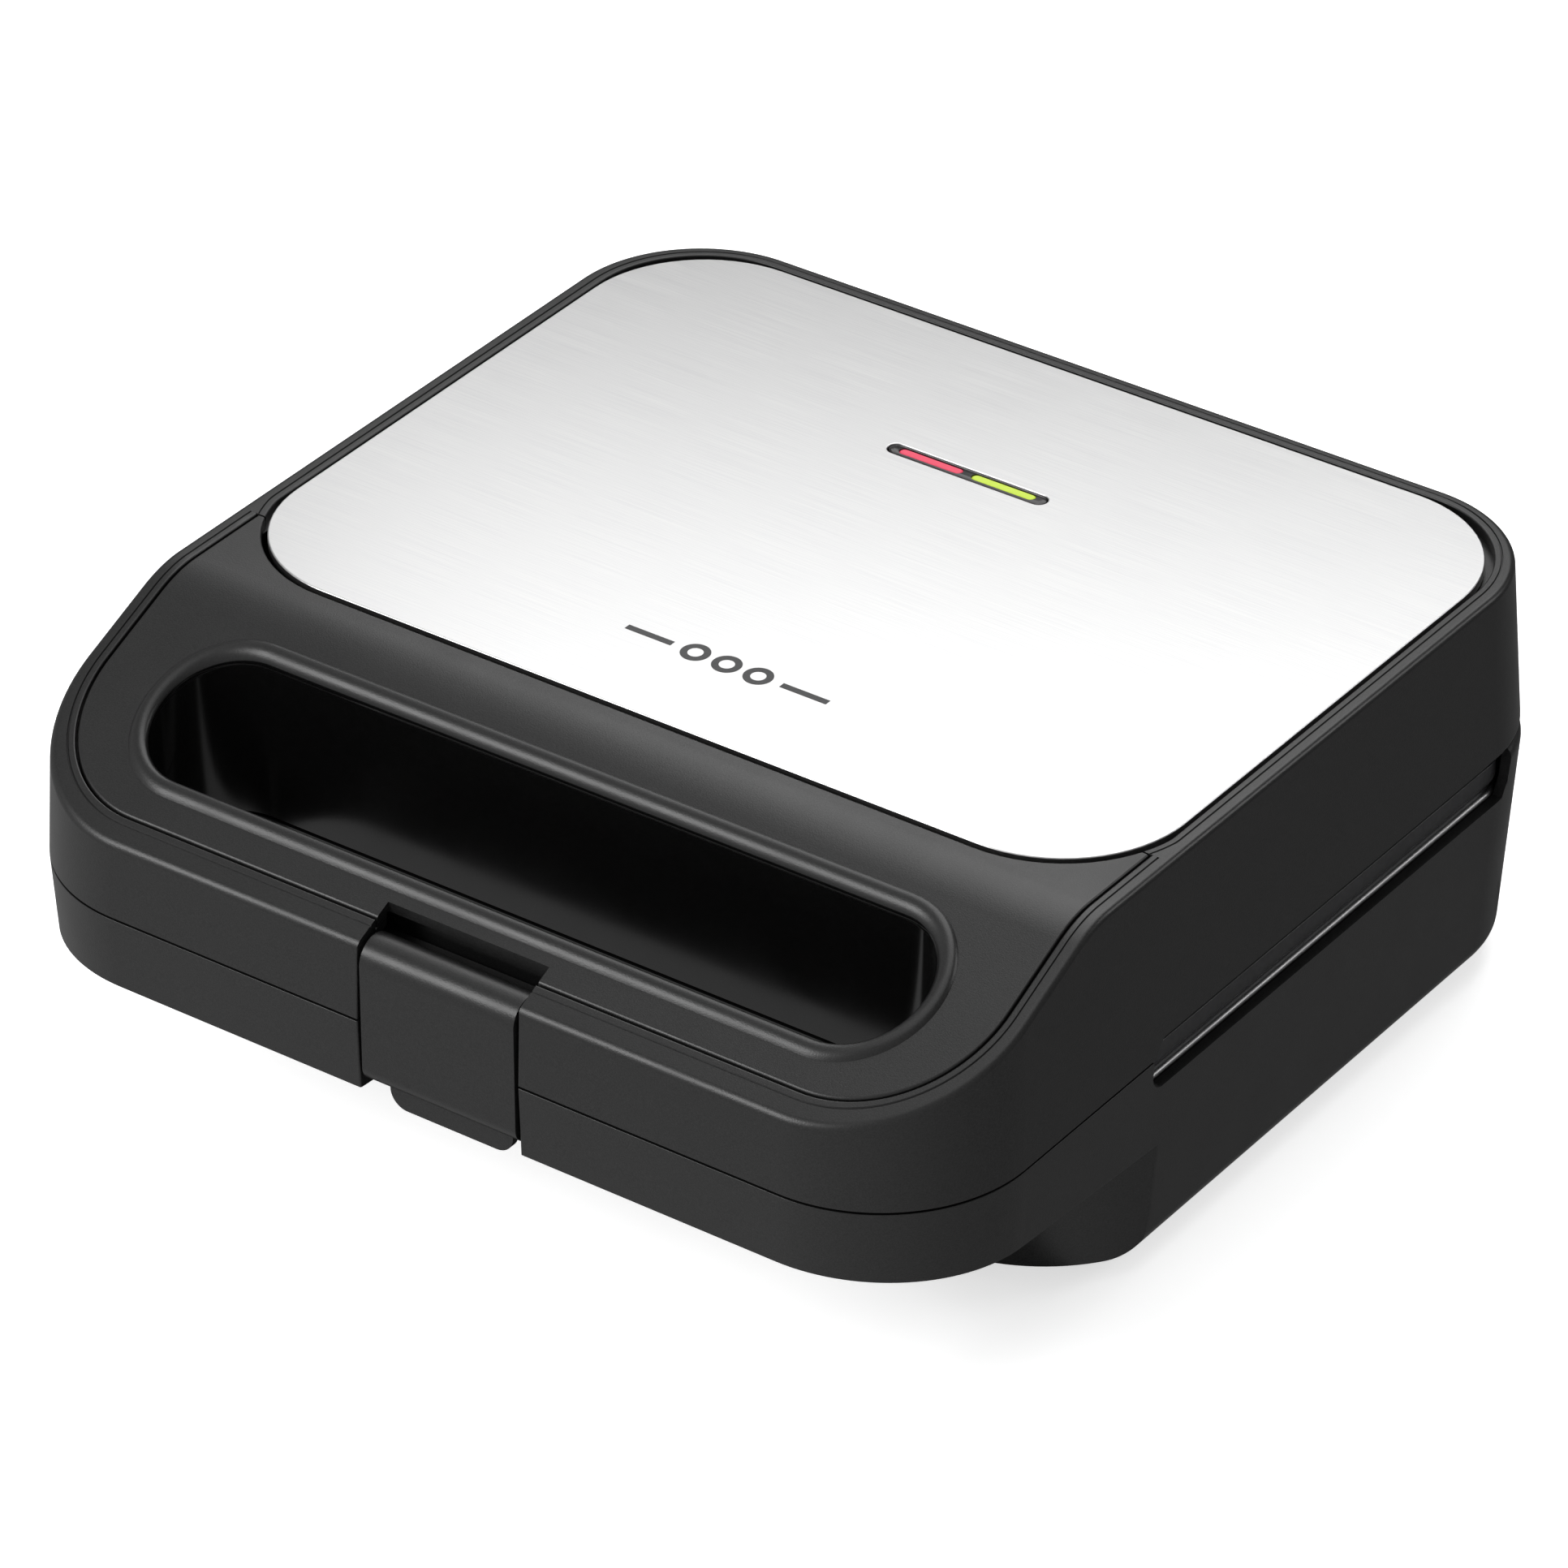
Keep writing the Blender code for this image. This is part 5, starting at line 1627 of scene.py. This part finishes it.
@dataclass
class SmallParts:
    """Feet, cord bush, hinge pins and latch pin."""

    finishes: FinishSet
    base: BaseShell
    form: BodyForm = FORM
    foot_tread: tuple[Point2, ...] = ((0, 0.6), (4.6, 0.6), (5.0, 0))
    foot_stud: tuple[Point2, ...] = ((8.0, 4.7), (3.0, 4.7), (3.0, 7.8), (4.4, 8.2), (0, 10.8))
    foot_radius: float = 7.4
    foot_edge: float = 0.6
    bush_neck: tuple[Point2, ...] = ((3.6, -5.2), (6.7, -4.6), (6.7, -2.8), (5.5, -2.8), (5.5, 0.6), (7.0, 0.6))
    bush_mouth: tuple[Point2, ...] = ((4.2, 4.0), (3.6, 3.6))
    pin_proud: float = 0.6
    pin_edge: float = 0.4
    latch_pin: tuple[float, float, float] = (21.3, 1.5, 0.2)

    def build(self) -> list[bpy.types.Object]:
        """Makes the small parts.

        Returns:
            The finished pieces.
        """
        made = self.feet() + [self.bush()] + self.pins()
        for piece in made:
            soften(piece)
        return made

    def feet(self) -> list[bpy.types.Object]:
        """Four rubber feet, each with a dished tread and a stud that snaps into the base.

        Returns:
            The four feet.
        """
        edge = self.foot_edge
        rounding = [(self.foot_radius + edge * sin(radians(a)), edge - edge * cos(radians(a)))
                    for a in range(0, 91, 15)]
        profile = list(self.foot_tread) + rounding + list(self.foot_stud)
        names = ("left_front_foot", "left_rear_foot", "right_front_foot", "right_rear_foot")
        made = []
        for name, (x, y) in zip(names, self.base.feet()):
            foot = lathe(name + "_pad", profile, (x, y, 0), self.finishes.moulded_rubber)
            dress(foot, Body.BASE, Slot.RUBBER, name)
            made.append(foot)
        return made

    def bush(self) -> bpy.types.Object:
        """The rubber collar in the hole for the supply lead.

        Returns:
            The finished piece.
        """
        height = self.base.bush_height
        collar = list(self.bush_neck) + arc((6.2, 3.2), 0.8, 0, 90, 5) + list(self.bush_mouth)
        bush = lathe("cord_bush_collar", collar, (0, self.form.back - self.form.lean(height)[2], height),
                     self.finishes.moulded_rubber, 48, Matrix.Rotation(radians(-90), 4, "X"))
        dress(bush, Body.BASE, Slot.RUBBER, "cord_bush")
        return bush

    def pins(self) -> list[bpy.types.Object]:
        """The two hinge pins and the latch's pin.

        Returns:
            The three pins.
        """
        form, steel = self.form, self.finishes.plated_steel
        made = []
        y, z = form.hinge
        reach = form.knuckle / 2 + form.gap + form.ear + self.pin_proud
        for name, side in (("left_hinge_pin", -1), ("right_hinge_pin", 1)):
            x = side * form.hinge_centre
            pin = rod(name + "_steel", (x - reach, y, z), (x + reach, y, z), form.hinge_pin, steel, 40,
                      self.pin_edge)
            dress(pin, Body.BASE, Slot.PLAIN, name)
            made.append(pin)
        y, z = form.latch
        half, radius, edge = self.latch_pin
        pin = rod("latch_pin_steel", (-half, y, z), (half, y, z), radius, steel, 32, edge)
        dress(pin, Body.LID, Slot.PLAIN, "latch_pin")
        made.append(pin)
        return made


@dataclass
class CarriedOver:
    """CAD nodes whose shape is kept: they only get a finish, the plastic ones a darker copy that is painted shade."""

    finishes: FinishSet

    def dress(self) -> None:
        """Gives each visible CAD node its finish."""
        # plastic nodes take the darker inner copy: painted shade in the side gap and surrounds
        looks = {Slot.PLASTIC: self.finishes.shaded_inner_abs, Slot.PLAIN: self.finishes.plated_steel,
                 Slot.CERAMIC: self.finishes.fired_ceramic, Slot.SLEEVE: self.finishes.woven_sleeve,
                 Slot.RUBBER: self.finishes.moulded_rubber, Slot.COATED: self.finishes.nonstick_coating,
                 Slot.STEEL: self.finishes.brushed_stainless}
        slots = {row["node"]: row["material_slot"] for row in frame["record"]["subparts"]}
        for name, node in frame["nodes"].items():
            if node.hide_render:
                continue
            finish = looks[Slot(slots[name])]
            node.data.materials.clear()
            node.data.materials.append(finish)
            LOG.info("%s: carried over in %s", name, finish.name)


# ---- studio -----------------------------------------------------------------------------------------
@dataclass
class Studio:
    """Pale floor, soft lights and the camera."""

    camera_place: Point3 = (0.84411, -1.1928, 0.99116)
    azimuth: float = 35.47
    elevation: float = 32.84
    lens_mm: float = 200.6
    sensor_mm: float = 36.0
    floor_glow: float = 0.62
    # size and height of the black card under the machine, which is painted shade
    shade_card_half: Point2 = (0.105, 0.115)
    shade_card_height: float = 0.4
    bright_side: Point3 = (-0.35, -0.94, 0.0)
    surround: tuple[float, float] = (0.10, 0.60)
    boxes: tuple = (("overhead", (0.1, 0.0, 1.6), (0.0, 0.0, 0.0), 1.2, 4.0),
                    ("slope_box", (-0.39, -0.03, 0.80), (0.0, -0.07, 0.08), 0.30, 0.1),
                    ("panel_box", (-0.17, 0.45, 0.76), (0.06, -0.03, 0.09), 0.70, 3.4),
                    ("front_box", (-0.80, -1.15, 0.90), (0.0, 0.0, 0.05), 0.60, 10.0),
                    ("rear_box", (0.90, 1.05, 0.76), (0.11, 0.0, 0.06), 0.50, 2.5))

    def build(self) -> None:
        """Sets the studio up."""
        self.add_floor()
        self.add_lights()
        self.add_camera()

    def add_floor(self) -> None:
        """A wide pale floor."""
        bm = bmesh.new()
        reach = 6000.0
        corners = [bm.verts.new((x, y, 0.0)) for x, y in ((-reach, -reach), (reach, -reach), (reach, reach),
                                                           (-reach, reach))]
        bm.faces.new(corners)
        material, tree, shader, place = new_material("painted_floor")
        shader.inputs["Roughness"].default_value = 0.9
        shader.inputs["Base Color"].default_value = linear("fbfbfb")
        shader.inputs["Specular IOR Level"].default_value = 0.1
        shader.inputs["Emission Color"].default_value = linear("ffffff")
        shader.inputs["Emission Strength"].default_value = self.floor_glow
        floor = add_object("studio_floor", bm, material)
        floor.visible_glossy = False
        self.add_shade_card()

    def add_shade_card(self) -> None:
        """A black card under the machine, painted shade: only reflections see it, as the floor there is in shade."""
        bm = bmesh.new()
        wide, deep = (value / MM for value in self.shade_card_half)
        corners = ((-wide, -deep), (wide, -deep), (wide, deep), (-wide, deep))
        bm.faces.new([bm.verts.new((x, y, self.shade_card_height)) for x, y in corners])
        # black and rough, seen only in reflections: painted shade for the shaded floor under the machine
        material, _, shader, _ = new_material("painted_shade_card")
        shader.inputs["Base Color"].default_value = linear("050505")
        shader.inputs["Roughness"].default_value = 1.0
        shade_card = add_object("studio_shade_card", bm, material)
        shade_card.visible_camera = shade_card.visible_shadow = shade_card.visible_diffuse = False

    def add_lights(self) -> None:
        """A surround that is brightest towards the front left, and soft boxes."""
        world = bpy.data.worlds.new("studio_surround")
        world.use_nodes = True
        tree = world.node_tree
        background = tree.nodes["Background"]
        place = add_node(tree, "ShaderNodeTexCoord")
        facing = add_node(tree, "ShaderNodeVectorMath", {"operation": "DOT_PRODUCT"},
                          Vector=place.outputs["Generated"])
        facing.inputs[1].default_value = self.bright_side
        dim, bright = self.surround
        span = {"From Min": -1.0, "From Max": 1.0, "To Min": dim, "To Max": bright}
        level = add_node(tree, "ShaderNodeMapRange", span, Value=facing.outputs["Value"])
        background.inputs["Color"].default_value = linear("ffffff")
        tree.links.new(level.outputs["Result"], background.inputs["Strength"])
        bpy.context.scene.world = world
        for name, place, aim, size, power in self.boxes:
            light = bpy.data.lights.new(name, "AREA")
            light.shape = "SQUARE"
            light.size = size
            light.energy = power
            lamp = bpy.data.objects.new(name, light)
            lamp.location = place
            lamp.rotation_euler = (Vector(aim) - Vector(place)).to_track_quat("-Z", "Y").to_euler()
            lamp.visible_camera = False
            bpy.context.scene.collection.objects.link(lamp)

    def add_camera(self) -> None:
        """The camera at the machine's right front corner, looking down."""
        data = bpy.data.cameras.new("camera")
        data.lens = self.lens_mm
        data.sensor_width = self.sensor_mm
        camera = bpy.data.objects.new("camera", data)
        a, e = radians(self.azimuth), radians(self.elevation)
        back = Vector((sin(a) * cos(e), -cos(a) * cos(e), sin(e)))
        right = Vector((cos(a), sin(a), 0.0))
        turn = Matrix((right, back.cross(right), back)).transposed().to_4x4()
        camera.matrix_world = Matrix.Translation(self.camera_place) @ turn
        bpy.context.scene.collection.objects.link(camera)
        bpy.context.scene.camera = camera
        bpy.context.scene.view_settings.view_transform = "Standard"


def main() -> None:
    """Builds every piece in order."""
    logging.basicConfig(level=logging.INFO, format="%(message)s")
    Studio().build()
    finishes = FinishSet()
    LidShell(finishes).build()
    HandleCover(finishes).build()
    TopPanel(finishes).build()
    LatchLever(finishes).build()
    BakingPlate(finishes, upper=True).build()
    BakingPlate(finishes, upper=False).build()
    base = BaseShell(finishes)
    base.build()
    SmallParts(finishes, base).build()
    CarriedOver(finishes).dress()


if __name__ == "__main__":
    main()
